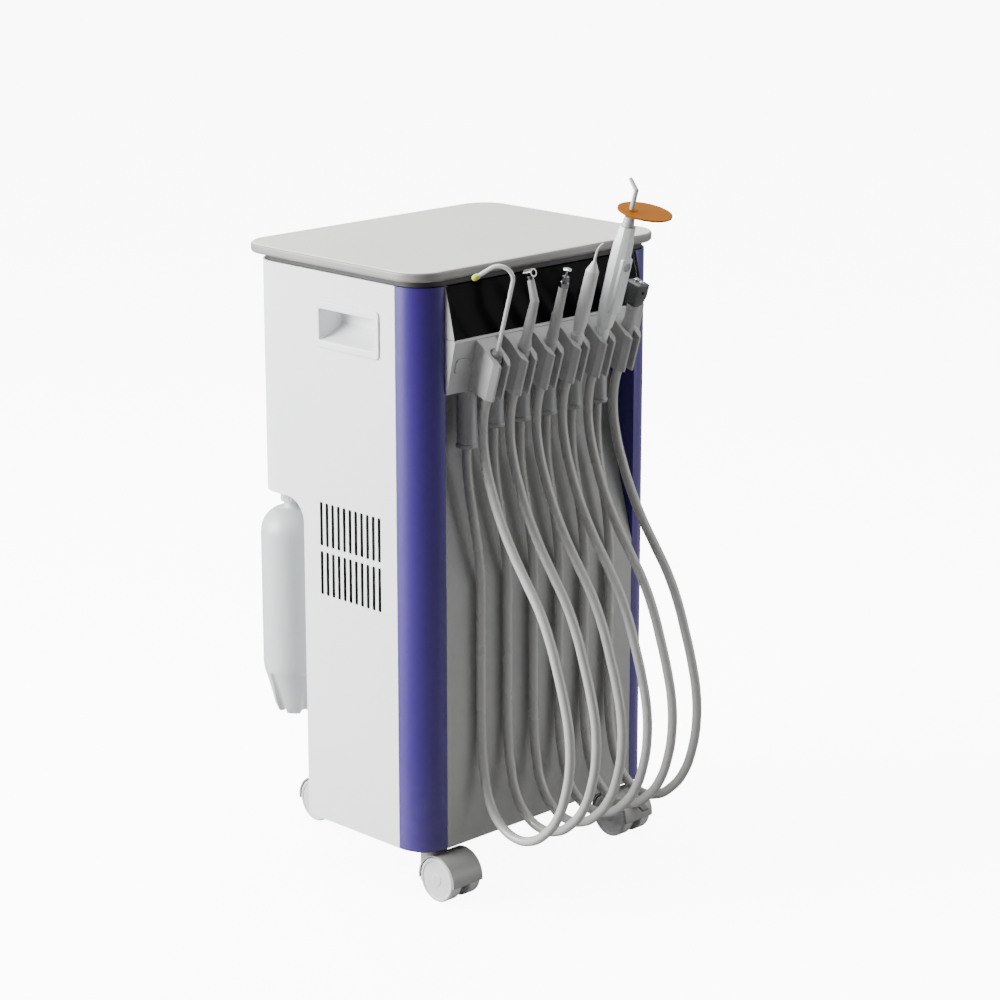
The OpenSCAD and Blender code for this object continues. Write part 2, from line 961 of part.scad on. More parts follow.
// Light rod with its metal collar; a pin below turns in the body
module light_guide() {
    color("#8a8c8f")
        on_instrument(4) {
            translate([0, 0, light_l - light_pin_l])
                cylinder(r = light_pin_r, h = light_pin_l + 1);
            translate([0, 0, light_l + joint_gap])
                cylinder(r1 = 7.6, r2 = 6.4, h = light_collar);
            translate([0, 0, light_l + light_collar])
                cylinder(r = light_rod_r, h = light_bend_at - light_l - light_collar);
            translate([0, 0, light_bend_at]) {
                sphere(light_rod_r);
                rotate([-light_bend, 0, 0])
                    cylinder(r1 = light_rod_r, r2 = 2.4, h = 17);
            }
        }
}

// Amber eye shield: an oval plate, set off centre on a hub that turns on the rod
module light_shield() {
    half_l = 35;
    half_w = 29;
    hub_r = 7;
    hub_below = 4;
    hub_above = 3;
    off_centre = 17.5;
    turned = -30;
    color("#d98a1c")
        on_instrument(4)
            translate([0, 0, shield_at])
                difference() {
                    union() {
                        cylinder_from(hub_r, -hub_below, hub_above);
                        rotate([0, 0, turned])
                            linear_extrude(2.2)
                                polygon([for (a = [0:7.5:352.5])
                                    [off_centre + half_l * cos(a), half_w * sin(a)]]);
                    }
                    cylinder_from(light_rod_r + running_gap, -hub_below - cut, hub_above + cut);
                }
}

// ---- Three-way syringe ----

syringe_l = 88;
syringe_head_h = 30;
syringe_button_r = 3.2;
syringe_button_h = 5;
syringe_button_travel = 2;

module syringe_body() {
    color("#a2a3a4")
        on_instrument(5)
            rotate_extrude()
                polygon([
                    [0, 0], [seat_r, 0], [seat_r, 64], [7.4, 68], [7.4, 82], [9, 83],
                    [9, syringe_l - 0.8], [8.2, syringe_l], [0, syringe_l]
                ]);
}

// Dark head that widens to the front, with a nozzle seat and wells for its two buttons
module syringe_head() {
    color("#4a4b4d")
        on_instrument(5)
            translate([0, 0, syringe_l])
                difference() {
                    intersection() {
                        side_view(-10, 20)
                            polygon([
                                [-8, 0], [8.5, 0], [10, syringe_head_h - 4],
                                [8, syringe_head_h], [-18, syringe_head_h - 2],
                                [-20, syringe_head_h - 5], [-20, syringe_head_h - 11],
                                [-10, 7]
                            ]);
                        front_view(-30, 60)
                            polygon([
                                [-8, 0], [8, 0], [9, 12], [9, syringe_head_h - 3],
                                [7, syringe_head_h], [-7, syringe_head_h],
                                [-9, syringe_head_h - 3], [-9, 12]
                            ]);
                    }
                    for (well = [-5, 4])
                        translate([0, well, syringe_head_h - syringe_button_h - 1])
                            cylinder(r = syringe_button_r + joint_gap, h = 20);
                    translate([0, -21, syringe_head_h - 8])
                        rotate([-90, 0, 0])
                            cylinder(r = 2.2, h = 8);
                }
}

module syringe_button(well) {
    skirt = syringe_button_h - syringe_button_travel - joint_gap;
    on_instrument(5)
        translate([0, well, syringe_l + syringe_head_h - skirt - 1])
            rotate_extrude()
                polygon([
                    [0, 0], [syringe_button_r, 0], [syringe_button_r, skirt + 3.2],
                    [syringe_button_r - 0.8, skirt + 4], [0, skirt + 4]
                ]);
}

module air_button() {
    color("#c9ccd0")
        syringe_button(-5);
}

module water_button() {
    color("#c9ccd0")
        syringe_button(4);
}

// ---- Bottle bays, caps and bottles ----

// Side view of the bay's liner: front wall, bend and ceiling
module liner_outline() {
    outer_r = bay_r + panel_t;
    difference() {
        translate([bay_y - panel_t, floor_gap])
            square([back_y - panel_t - joint_gap - bay_y + panel_t, bay_z + panel_t - floor_gap]);
        translate([bay_y, floor_gap - cut])
            square([cabinet_d, bay_z - bay_r - floor_gap + cut]);
        translate([bay_y + bay_r, floor_gap - cut])
            square([cabinet_d, bay_z - floor_gap + cut]);
        translate([bay_y + bay_r, bay_z - bay_r])
            circle(bay_r);
        difference() {
            translate([bay_y - panel_t - cut, bay_z - bay_r])
                square([outer_r + cut, outer_r + cut]);
            translate([bay_y + bay_r, bay_z - bay_r])
                circle(outer_r);
        }
    }
}

module bottle_bay() {
    spine_x = spine_w / 2;
    inner_x = side_x - panel_t - joint_gap;
    difference() {
        intersection() {
            union() {
                side_view(-inner_x, inner_x - spine_x)
                    liner_outline();
                translate([-spine_x, bay_y - panel_t, floor_gap])
                    cube([panel_t, back_y - bay_y - joint_gap, bay_z + panel_t - floor_gap]);
            }
            translate([0, 0, floor_gap - cut])
                linear_extrude(cabinet_h)
                    cabinet_plan(panel_t + joint_gap);
        }
        translate([-bottle_x, bottle_y, bay_z - cut])
            cylinder(r = neck_r - 3, h = panel_t + 2 * cut);
    }
}

module bottle_bay_left() {
    color("#dcdedf")
        bottle_bay();
}

module bottle_bay_right() {
    color("#dcdedf")
        mirror([1, 0, 0])
            bottle_bay();
}

// Fixed caps under the ceiling, with a grip-ribbed skirt and a dip tube spigot
module bottle_caps() {
    ribs = 24;
    color("#b8bcc0")
        on_both_sides()
            translate([-bottle_x, bottle_y, bay_z - cap_h])
                difference() {
                    union() {
                        cylinder(r = cap_r, h = cap_h);
                        translate([0, 0, cap_h - 1])
                            cylinder(r = neck_r - 3 - joint_gap, h = panel_t + 6);
                    }
                    translate([0, 0, -cut])
                        cylinder(r = neck_r + 0.4, h = neck_top_z - bay_z + cap_h + cut + 0.4);
                    for (i = [0:ribs - 1])
                        rotate([0, 0, i * 360 / ribs])
                            translate([cap_r + 0.6, 0, -cut])
                                cylinder(r = 1.2, h = cap_h - 2, $fn = 16);
                }
}

// Blown bottle with a domed shoulder, a threaded neck and a foot of five lobes
module bottle() {
    shoulder_r = 33;
    wall = 1.4;
    dome = neck_foot_z - shoulder_z;
    difference() {
        rotate_extrude($fn = 72)
            polygon(concat(
                [[0, bottle_foot_z + 4], [20, bottle_foot_z], [25, bottle_foot_z + 1],
                    [29, bottle_foot_z + 10], [36, bottle_foot_z + 38],
                    [bottle_r - 1, foot_taper_z - 8], [bottle_r, foot_taper_z]],
                [for (a = [0:10:70])
                    [neck_r + (bottle_r - neck_r) * cos(a), shoulder_z + dome * sin(a)]],
                [[neck_r, neck_foot_z], [neck_r, neck_top_z], [0, neck_top_z]]
            ));
        rotate_extrude($fn = 72)
            polygon(concat(
                [[0, foot_taper_z - 6], [bottle_r - wall - 6, foot_taper_z - 4],
                    [bottle_r - wall, foot_taper_z + 4]],
                [for (a = [0:10:70])
                    [neck_r - wall + (bottle_r - neck_r) * cos(a), shoulder_z + dome * sin(a) - wall]],
                [[neck_r - wall, neck_foot_z], [neck_r - wall, neck_top_z + cut],
                    [0, neck_top_z + cut]]
            ));
        for (i = [0:foot_lobes - 1])
            rotate([0, 0, 36 + i * 360 / foot_lobes])
                foot_groove();
    }
}

// Groove between two lobes: out along the bottom, then up the side until it runs out
module foot_groove() {
    groove_r = 8;
    bend_at = 27;
    translate([0, 0, bottle_foot_z - 3]) {
        rotate([0, 90, 0])
            cylinder(r = groove_r, h = bend_at);
        translate([bend_at, 0, 0]) {
            sphere(groove_r);
            rotate([0, 19, 0])
                cylinder(r = groove_r, h = 60);
        }
    }
}

module bottle_left() {
    color("#cfd3d4")
        translate([-bottle_x, bottle_y, 0])
            bottle();
}

module bottle_right() {
    color("#cfd3d4")
        translate([bottle_x, bottle_y, 0])
            bottle();
}

// ---- Rear cover with its mains inlet and switch ----

module rear_cover() {
    upper_w = cabinet_w - 2 * corner_r - 20 - 2 * joint_gap;
    lower_w = spine_w + 2 * joint_gap;
    louvre_l = 90;
    color(white)
        front_view(back_y - panel_t, panel_t)
            difference() {
                union() {
                    translate([-upper_w / 2, bay_z])
                        square([upper_w, top_z - bay_z]);
                    translate([-lower_w / 2, floor_gap])
                        square([lower_w, bay_z - floor_gap + cut]);
                }
                for (row = [0:7], z = [vent_z - 60, bay_z + 90])
                    translate([0, z + row * vent_pitch])
                        rotate([0, 0, 90])
                            translate([0, -louvre_l / 2])
                                upright_slot(vent_w, louvre_l);
                translate([0, inlet_z])
                    square([inlet_w - 8 + joint_gap, inlet_h - 8 + joint_gap], center = true);
            }
}

// Black block in the rear cover: a three-pin mains socket below a rocker's housing
module mains_inlet() {
    flange_t = 2;
    depth = 24;
    socket_z = -inlet_h / 2 + 17;
    color("#1b1c1e")
        translate([0, back_y, inlet_z]) {
            difference() {
                union() {
                    front_view(0, flange_t)
                        rounded_rect(inlet_w, inlet_h, 3);
                    front_view(-depth, depth)
                        square([inlet_w - 8, inlet_h - 8], center = true);
                }
                front_view(-depth + 4, depth)
                    translate([0, socket_z])
                        rounded_rect(28, 20, 3);
                front_view(-depth + 10, depth)
                    translate([0, switch_up])
                        square([switch_w + 2 * joint_gap, switch_h + 2 * joint_gap], center = true);
                translate([-inlet_w / 2 + 6, -3, switch_up])
                    rotate([0, 90, 0])
                        cylinder(r = 1.5 + running_gap, h = inlet_w - 12);
            }
            for (blade = [[-7, -1.5], [0, 3], [7, -1.5]])
                translate([blade[0] - 1, -depth + 3.5, socket_z + blade[1] - 2])
                    cube([2, 16, 4]);
        }
}

// Rocker on a pin across its housing, rocked down at rest
module power_switch() {
    color("#2e7d3a")
        translate([0, back_y - 3, inlet_z + switch_up]) {
            rotate([8, 0, 0])
                side_view(-switch_w / 2, switch_w)
                    polygon([
                        [-4, -4], [0, -7.5], [5.6, -9], [4.2, 0], [5.6, 9], [0, 7.5], [-4, 4]
                    ]);
            translate([-switch_w / 2 - 3, 0, 0])
                rotate([0, 90, 0])
                    cylinder(r = 1.5, h = switch_w + 6);
        }
}

// ---- Base plate ----

module base_plate() {
    spine_half = spine_w / 2 - plate_inset;
    color("#8d9093")
        difference() {
            union() {
                translate([0, 0, plate_z])
                    linear_extrude(plate_t)
                        difference() {
                            cabinet_plan(plate_inset);
                            for (s = [-1, 1])
                                translate([
                                    s > 0 ? spine_half : -side_x - cut, bay_y - plate_inset
                                ])
                                    square([side_x + cut - spine_half, cabinet_d]);
                        }
                for (at = swivel_places())
                    translate([at[0], at[1], plate_z])
                        cylinder(r = boss_r, h = boss_h);
            }
            for (at = swivel_places())
                translate([at[0], at[1], plate_z - cut])
                    cylinder(r = stem_r + running_gap, h = boss_h - 2 + cut);
        }
}

// ---- Inner machines, all standing on the base plate ----

// Oil-free compressor: motor barrel, finned heads at both ends, and a foot plate on four buffers
module compressor() {
    barrel_r = 38;
    half_l = 46;
    mid = [-70, 2, floor_gap + 62];
    color("#6f7377")
        translate(mid) {
            rotate([0, 90, 0])
                cylinder(r = barrel_r, h = 2 * half_l, center = true);
            for (s = [-1, 1])
                translate([s * (half_l + 9), 0, 0]) {
                    cube([18, 62, 62], center = true);
                    for (fin = [0:4])
                        translate([0, 0, 31 + 5 + fin * 7])
                            cube([30, 56, 2.5], center = true);
                    translate([0, 0, 31])
                        cylinder(r = 13, h = 38);
                }
            translate([-60, -30, -barrel_r - 10])
                cube([120, 60, 14]);
            for (sx = [-1, 1], sy = [-1, 1])
                translate([sx * 48, sy * 22, -62])
                    cylinder(r = 8, h = 16);
        }
}

// Upright air tank with domed ends on a skirt
module air_tank() {
    r = 55;
    color("#d5d8da")
        translate([100, 0, floor_gap])
            rotate_extrude()
                polygon(concat(
                    [[0, 24], [r - 18, 24], [r - 18, 0], [r - 14, 0], [r - 12, 28]],
                    [for (a = [-50:10:0]) [r * cos(a) * 0.98 + 1, 60 + 38 * sin(a)]],
                    [for (a = [0:10:80]) [r * cos(a) * 0.98 + 1, 270 + 38 * sin(a)]],
                    [[8, 308], [8, 322], [0, 322]]
                ));
}

// Suction pump in the spine: vertical motor on a volute with its inlet stub
module suction_pump() {
    color("#5d6267")
        translate([0, bay_y + 16, floor_gap]) {
            cylinder(r = 42, h = 46);
            translate([0, 0, 45])
                cylinder(r = 32, h = 92);
            translate([0, 0, 136])
                cylinder(r1 = 30, r2 = 22, h = 8);
            translate([52, 0, 24])
                rotate([0, 90, 0])
                    cylinder(r = 9, h = 36, center = true);
        }
}

// Control unit on the shelf behind the fascia
module control_unit() {
    color("#2f6b45")
        translate([-80, recess_y - 34, nose_z + joint_gap]) {
            cube([160, 26, 3]);
            translate([10, 4, 2])
                cube([40, 18, 22]);
            translate([66, 4, 2])
                cube([26, 18, 12]);
            translate([112, 4, 2])
                cube([34, 18, 16]);
        }
}

// ---- Casters ----

function swivel_places() = [
    [-front_swivel_x, front_y + front_swivel_y],
    [front_swivel_x, front_y + front_swivel_y],
    [-rear_swivel_x, back_y - rear_swivel_y],
    [rear_swivel_x, back_y - rear_swivel_y]
];

// Places a caster at its swivel axis: the front pair trails forward, the rear pair backward
module at_swivel(i) {
    translate([swivel_places()[i][0], swivel_places()[i][1], 0])
        rotate([0, 0, i < 2 ? 0 : 180])
            children();
}

// Hood over a pair of wheels, with the web between them and the swivel stem behind
module caster(i) {
    well_w = (wheels_w - web_t) / 2 + cut;
    color("#bfc1c1")
        at_swivel(i)
            difference() {
                union() {
                    intersection() {
                        translate([-wheels_w / 2, -trail, wheel_r])
                            rotate([0, 90, 0])
                                cylinder(r = hood_r, h = wheels_w, $fn = 96);
                        translate([-50, -trail - hood_r - cut, wheel_r - 4])
                            cube([100, 2 * hood_r + 2 * cut, 60]);
                    }
                    translate([-web_t / 2, -trail, wheel_r])
                        rotate([0, 90, 0])
                            cylinder(r = wheel_r - 6, h = web_t);
                    translate([0, 0, wheel_r - 14])
                        cylinder(r = 17, h = hood_top_z - wheel_r + 14);
                    cylinder_from(stem_r, hood_top_z - 1, plate_z + boss_h - 2 - joint_gap);
                }
                for (start = [web_t / 2, -web_t / 2 - well_w])
                    translate([start, -trail, wheel_r])
                        rotate([0, 90, 0])
                            cylinder(r = wheel_r + hood_gap, h = well_w, $fn = 96);
                translate([-web_t, -trail, wheel_r])
                    rotate([0, 90, 0])
                        cylinder(r = axle_r + running_gap, h = 2 * web_t);
                if (i == 1)
                    pedal_slot();
            }
}

// Two wheels on one axle, with a raised rim and a dished hub on the outside
module wheels(i) {
    color("#d3d5d6")
        at_swivel(i)
            translate([0, -trail, wheel_r])
                rotate([0, 90, 0]) {
                    cylinder(r = axle_r, h = web_t + 4, center = true);
                    for (s = [0, 1])
                        mirror([0, 0, s])
                            translate([0, 0, web_t / 2 + joint_gap])
                                rotate_extrude($fn = 96)
                                    polygon([
                                        [0, 0], [wheel_r - 1.5, 0], [wheel_r, 1.5],
                                        [wheel_r, wheel_w - 1.5], [wheel_r - 1.5, wheel_w],
                                        [wheel_r - 4, wheel_w], [wheel_r - 5, wheel_w - 1.2],
                                        [8, wheel_w - 1.2], [7, wheel_w - 0.4], [0, wheel_w - 0.4]
                                    ]);
                }
}

module caster_front_left() { caster(0); }
module caster_front_right() { caster(1); }
module caster_rear_left() { caster(2); }
module caster_rear_right() { caster(3); }
module wheels_front_left() { wheels(0); }
module wheels_front_right() { wheels(1); }
module wheels_rear_left() { wheels(2); }
module wheels_rear_right() { wheels(3); }

// Foot brake on the front right caster, hinged across a slot in the hood's web
pedal_w = 11;
pedal_y = -trail - wheel_r + 8;
pedal_z = wheel_r + 20;

pedal_pin_r = 1.5;

// Slot for the pedal, with a hole for its pin through both walls that are left of the web
module pedal_slot() {
    translate([-pedal_w / 2 - joint_gap, -trail - hood_r - cut, pedal_z - 7])
        cube([pedal_w + 2 * joint_gap, 22, 40]);
    translate([-web_t / 2 - cut, pedal_y, pedal_z])
        rotate([0, 90, 0])
            cylinder(r = pedal_pin_r + running_gap, h = web_t + 2 * cut);
}

module brake_pedal() {
    color("#5b5d5f")
        at_swivel(1) {
            translate([-pedal_w / 2, 0, 0])
                side_view(0, pedal_w)
                    polygon([
                        [pedal_y + 3, pedal_z - 3], [pedal_y + 3, pedal_z + 2],
                        [pedal_y - 8, pedal_z + 1], [pedal_y - 22, pedal_z - 6],
                        [pedal_y - 22, pedal_z - 9], [pedal_y - 9, pedal_z - 3]
                    ]);
            translate([-web_t / 2, pedal_y, pedal_z])
                rotate([0, 90, 0])
                    cylinder(r = pedal_pin_r, h = web_t);
        }
}

worktop();
top_plate();
side_panel_left();
side_panel_right();
column_left();
column_right();
front_panel();
console_frame();
control_fascia();
holder_bar();
instrument_holders();
bar_button();
hose_glands();
carry_handles();
rear_cover();
bottle_bay_left();
bottle_bay_right();
bottle_caps();
bottle_left();
bottle_right();
base_plate();
mains_inlet();
power_switch();
compressor();
air_tank();
suction_pump();
control_unit();
hose_1();
hose_2();
hose_3();
hose_4();
hose_5();
hose_6();
ejector_valve();
ejector_tube();
ejector_tip();
turbine_sleeve();
turbine_head();
motor_sleeve();
motor_chuck();
polishing_disc();
scaler_sleeve();
scaler_tip();
light_body();
light_trigger();
light_guide();
light_shield();
syringe_body();
syringe_head();
air_button();
water_button();
caster_front_left();
caster_front_right();
caster_rear_left();
caster_rear_right();
wheels_front_left();
wheels_front_right();
wheels_rear_left();
wheels_rear_right();
brake_pedal();
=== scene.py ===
import json
import math
import bpy
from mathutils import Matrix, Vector

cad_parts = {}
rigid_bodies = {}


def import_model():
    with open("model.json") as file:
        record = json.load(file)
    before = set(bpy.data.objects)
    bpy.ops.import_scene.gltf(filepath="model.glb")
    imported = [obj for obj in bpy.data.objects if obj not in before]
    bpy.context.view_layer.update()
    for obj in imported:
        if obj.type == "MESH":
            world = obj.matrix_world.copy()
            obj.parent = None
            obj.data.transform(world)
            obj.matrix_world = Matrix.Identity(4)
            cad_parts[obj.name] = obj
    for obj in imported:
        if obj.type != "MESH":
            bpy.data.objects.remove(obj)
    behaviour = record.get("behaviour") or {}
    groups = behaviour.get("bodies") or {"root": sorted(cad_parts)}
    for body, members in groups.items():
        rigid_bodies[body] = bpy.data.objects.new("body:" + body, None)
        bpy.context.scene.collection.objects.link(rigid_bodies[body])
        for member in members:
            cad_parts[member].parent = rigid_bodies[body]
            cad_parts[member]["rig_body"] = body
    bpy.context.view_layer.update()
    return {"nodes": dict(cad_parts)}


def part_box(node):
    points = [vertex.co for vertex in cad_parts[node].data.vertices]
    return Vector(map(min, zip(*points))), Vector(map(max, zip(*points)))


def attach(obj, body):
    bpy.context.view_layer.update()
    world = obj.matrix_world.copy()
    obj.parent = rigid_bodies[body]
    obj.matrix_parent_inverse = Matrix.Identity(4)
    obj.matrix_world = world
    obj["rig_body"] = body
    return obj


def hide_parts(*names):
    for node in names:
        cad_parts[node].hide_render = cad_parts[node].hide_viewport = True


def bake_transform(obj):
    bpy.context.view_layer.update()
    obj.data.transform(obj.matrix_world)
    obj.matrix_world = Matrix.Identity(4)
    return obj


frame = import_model()

# ---- Camera ----
# It stands where the photograph was taken from: ahead of the left front corner and a little
# above the worktop, with a long lens, so the cabinet's uprights stay nearly parallel.
bpy.ops.object.select_all(action="DESELECT")
bpy.ops.object.camera_add(
    location=(-2.5618, -2.6201, 1.4644),
    rotation=(math.radians(74.718), 0, math.radians(-44.801)))
camera = bpy.context.object
camera.name = "camera"
camera.data.sensor_width = 36
camera.data.lens = 107.27
camera.data.clip_end = 100
bpy.context.scene.camera = camera

# ---- Hoses ----
# Six smooth silicone hoses, 12 mm thick. Each leaves its gland under the console, runs down the
# front panel, hangs in a free loop above the floor and comes up into the end of its instrument.
hose_d = 0.012
holder_pitch = 0.046
front_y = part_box("front_panel")[0].y
gland_y = front_y + 0.016
gland_z = 0.590
gland_ends = [0.571] + 5 * [gland_z]
hose_bodies = ["ejector", "turbine", "micromotor", "scaler", "curing_light", "syringe"]
# How far ahead of the front panel a hose hangs, and how high, from its gland to its instrument
hose_route = [
    (-0.016, 0.552), (-0.012, 0.518), (-0.004, 0.480), (0.004, 0.440), (0.008, 0.400),
    (0.008, 0.360), (0.008, 0.320), (0.008, 0.280), (0.008, 0.240), (0.009, 0.200),
    (0.013, 0.160), (0.024, 0.120), (0.042, 0.097), (0.068, 0.086), (0.096, 0.090),
    (0.122, 0.108), (0.142, 0.134), (0.155, 0.168), (0.161, 0.204), (0.160, 0.242),
    (0.152, 0.280), (0.140, 0.318), (0.126, 0.356), (0.109, 0.389), (0.087, 0.420),
    (0.064, 0.452), (0.044, 0.486), (0.028, 0.522), (0.017, 0.556), (0.012, 0.590),
    (0.014, 0.618), (0.020, 0.640)]


def effect(name, takes, gives):
    """Starts a shader node group; returns it with its inputs, ready to be filled with nodes."""
    group = bpy.data.node_groups.new(name, "ShaderNodeTree")
    for label, kind in takes:
        group.interface.new_socket(label, in_out="INPUT", socket_type="NodeSocket" + kind)
    for label, kind in gives:
        group.interface.new_socket(label, in_out="OUTPUT", socket_type="NodeSocket" + kind)
    return group, group.nodes.new("NodeGroupInput").outputs


def add_node(tree, kind, sockets=None, group=None, **settings):
    """Adds a node. sockets maps an input to a value or to another node's output."""
    node = tree.nodes.new(kind)
    if group:
        node.node_tree = group
    for name, value in settings.items():
        setattr(node, name, value)
    for key, value in (sockets or {}).items():
        if isinstance(value, bpy.types.NodeSocket):
            tree.links.new(value, node.inputs[key])
        else:
            node.inputs[key].default_value = value
    return node


def math_node(tree, operation, first, second):
    return add_node(tree, "ShaderNodeMath", {0: first, 1: second}, operation=operation).outputs[0]


# Surface relief of a moulded or coated skin: fine grain on a slower, softer swell
grain, taken = effect(
    "skin_relief", [("Vector", "Vector"), ("Size", "Float"), ("Grain", "Float"),
                    ("Swell", "Float")], [("Height", "Float")])
speck = add_node(grain, "ShaderNodeTexNoise",
                 {"Vector": taken["Vector"], "Scale": taken["Size"], "Detail": 3.0})
slower = math_node(grain, "MULTIPLY", taken["Size"], 0.22)
peel = add_node(grain, "ShaderNodeTexNoise",
                {"Vector": taken["Vector"], "Scale": slower, "Detail": 1.0})
fine = math_node(grain, "MULTIPLY", speck.outputs["Fac"], taken["Grain"])
broad = math_node(grain, "MULTIPLY", peel.outputs["Fac"], taken["Swell"])
add_node(grain, "NodeGroupOutput", {"Height": math_node(grain, "ADD", fine, broad)})

# Faint marks of hands and cleaning cloths, as a change of roughness round a base value
marks, taken = effect(
    "handling_marks", [("Vector", "Vector"), ("Base", "Float"), ("Amount", "Float")],
    [("Roughness", "Float")])
smear = add_node(marks, "ShaderNodeTexNoise",
                 {"Vector": taken["Vector"], "Scale": 7.0, "Detail": 5.0, "Distortion": 0.6})
patches = add_node(marks, "ShaderNodeMapRange",
                   {"Value": smear.outputs["Fac"], "From Min": 0.35, "From Max": 0.7,
                    "To Min": -0.5, "To Max": 0.5})
wiped = math_node(marks, "MULTIPLY", patches.outputs[0], taken["Amount"])
add_node(marks, "NodeGroupOutput", {"Roughness": math_node(marks, "ADD", wiped, taken["Base"])})

# Slow drift of a colour towards a second one, flecks of it, and dust that gathers near the floor
tone, taken = effect(
    "tone", [("Vector", "Vector"), ("Color", "Color"), ("Second", "Color"), ("Drift", "Float"),
             ("Fleck Size", "Float"), ("Flecks", "Float"), ("Dust", "Float")],
    [("Color", "Color")])
cloud = add_node(tone, "ShaderNodeTexNoise",
                 {"Vector": taken["Vector"], "Scale": 3.5, "Detail": 4.0})
chips = add_node(tone, "ShaderNodeTexVoronoi",
                 {"Vector": taken["Vector"], "Scale": taken["Fleck Size"], "Randomness": 1.0})
chip_tone = add_node(tone, "ShaderNodeSeparateColor", {"Color": chips.outputs["Color"]})
drift_share = math_node(tone, "MULTIPLY", cloud.outputs["Fac"], taken["Drift"])
fleck_share = math_node(tone, "MULTIPLY", chip_tone.outputs[0], taken["Flecks"])
drifted = add_node(tone, "ShaderNodeMix",
                   {"Factor": math_node(tone, "ADD", drift_share, fleck_share),
                    "A": taken["Color"], "B": taken["Second"]}, data_type="RGBA")
height = add_node(tone, "ShaderNodeSeparateXYZ", {"Vector": taken["Vector"]})
low = add_node(tone, "ShaderNodeMapRange",
               {"Value": height.outputs["Z"], "From Min": 0.2, "From Max": 0.03,
                "To Min": 0.0, "To Max": 1.0})
motes = add_node(tone, "ShaderNodeTexNoise",
                 {"Vector": taken["Vector"], "Scale": 60.0, "Detail": 6.0})
settled = math_node(tone, "MULTIPLY", low.outputs[0], motes.outputs["Fac"])
dusty = add_node(tone, "ShaderNodeMix",
                 {"Factor": math_node(tone, "MULTIPLY", settled, taken["Dust"]),
                  "A": drifted.outputs["Result"], "B": (0.42, 0.40, 0.37, 1)}, data_type="RGBA")
add_node(tone, "NodeGroupOutput", {"Color": dusty.outputs["Result"]})


def finish(name, colour, roughness, size=900, grain_depth=0.3, swell=0.1, smears=0.08, drift=0.06,
           second=(0.3, 0.3, 0.32), fleck_size=900, flecks=0.0, dust=0.2, fixed=None):
    """A coated or moulded finish, whose fixed sockets hold one value all over."""
    material = bpy.data.materials.new(name)
    material.use_nodes = True
    tree = material.node_tree
    shader = tree.nodes["Principled BSDF"]
    at = add_node(tree, "ShaderNodeTexCoord").outputs["Object"]
    body = add_node(tree, "ShaderNodeGroup", {
        "Vector": at, "Color": (*colour, 1), "Second": (*second, 1), "Drift": drift,
        "Fleck Size": fleck_size, "Flecks": flecks, "Dust": dust}, group=tone)
    tree.links.new(body.outputs["Color"], shader.inputs["Base Color"])
    rough = add_node(tree, "ShaderNodeGroup",
                     {"Vector": at, "Base": roughness, "Amount": smears}, group=marks)
    tree.links.new(rough.outputs["Roughness"], shader.inputs["Roughness"])
    relief = add_node(tree, "ShaderNodeGroup", {
        "Vector": at, "Size": size, "Grain": grain_depth, "Swell": swell}, group=grain)
    bump = add_node(tree, "ShaderNodeBump",
                    {"Height": relief.outputs["Height"], "Distance": 0.0005, "Strength": 0.5})
    tree.links.new(bump.outputs["Normal"], shader.inputs["Normal"])
    for socket, value in (fixed or {}).items():
        shader.inputs[socket].default_value = value
    return material


def only(piece):
    """Selects one piece alone, in object mode."""
    bpy.ops.object.select_all(action="DESELECT")
    piece.select_set(True)
    bpy.context.view_layer.objects.active = piece


def merge_doubles(piece, gap):
    """Joins the points that lie closer than gap, which closes seams and end caps."""
    only(piece)
    bpy.ops.object.mode_set(mode="EDIT")
    bpy.ops.mesh.select_all(action="SELECT")
    bpy.ops.mesh.remove_doubles(threshold=gap)
    bpy.ops.object.mode_set(mode="OBJECT")


silicone = finish("grey_silicone", (0.38, 0.38, 0.37), 0.27, 420, 0.15, 0.25, 0.14, 0.10,
                  dust=0.35, fixed={"Sheen Weight": 0.12, "Sheen Roughness": 0.4})
for number, body in enumerate(hose_bodies):
    x = (number - 2.5) * holder_pitch
    points = [Vector((x, gland_y, gland_ends[number]))]
    points += [Vector((x, front_y - ahead, height)) for ahead, height in hose_route]
    line = bpy.data.curves.new("hose_line", "CURVE")
    line.dimensions = "3D"
    spline = line.splines.new("BEZIER")
    spline.bezier_points.add(len(points) - 1)
    for knot, point in zip(spline.bezier_points, points):
        knot.co = point
        knot.handle_left_type = knot.handle_right_type = "AUTO"
    line.bevel_depth = hose_d / 2
    line.bevel_resolution = 6
    line.resolution_u = 6
    line.use_fill_caps = True
    hose = bpy.data.objects.new("hose_%d_silicone" % (number + 1), line)
    bpy.context.collection.objects.link(hose)
    only(hose)
    bpy.ops.object.convert(target="MESH")
    merge_doubles(hose, 0.000005)
    bpy.ops.object.shade_smooth_by_angle(angle=math.radians(50))
    hose.data.materials.clear()
    hose.data.materials.append(silicone)
    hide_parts("hose_%d" % (number + 1))
    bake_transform(hose)

# ---- Floor and lights ----
# A plain pale studio floor, lit from below, that throws little light back onto the cabinet. One
# broad soft light stands at the left, one hangs overhead and a weak one fills in from the right.
# The studio's walls are bright but for a dark one behind the camera.
floor_coat = finish("studio_floor", (0.9, 0.9, 0.9), 0.6, 40, 0.02, 0.02, 0.05, 0.0, dust=0.0)
floor_glow = 9.0
floor_bounce = 0.25
wall_strength = 0.9
dark_wall_strength = 0.03
backdrop_strength = 6.0

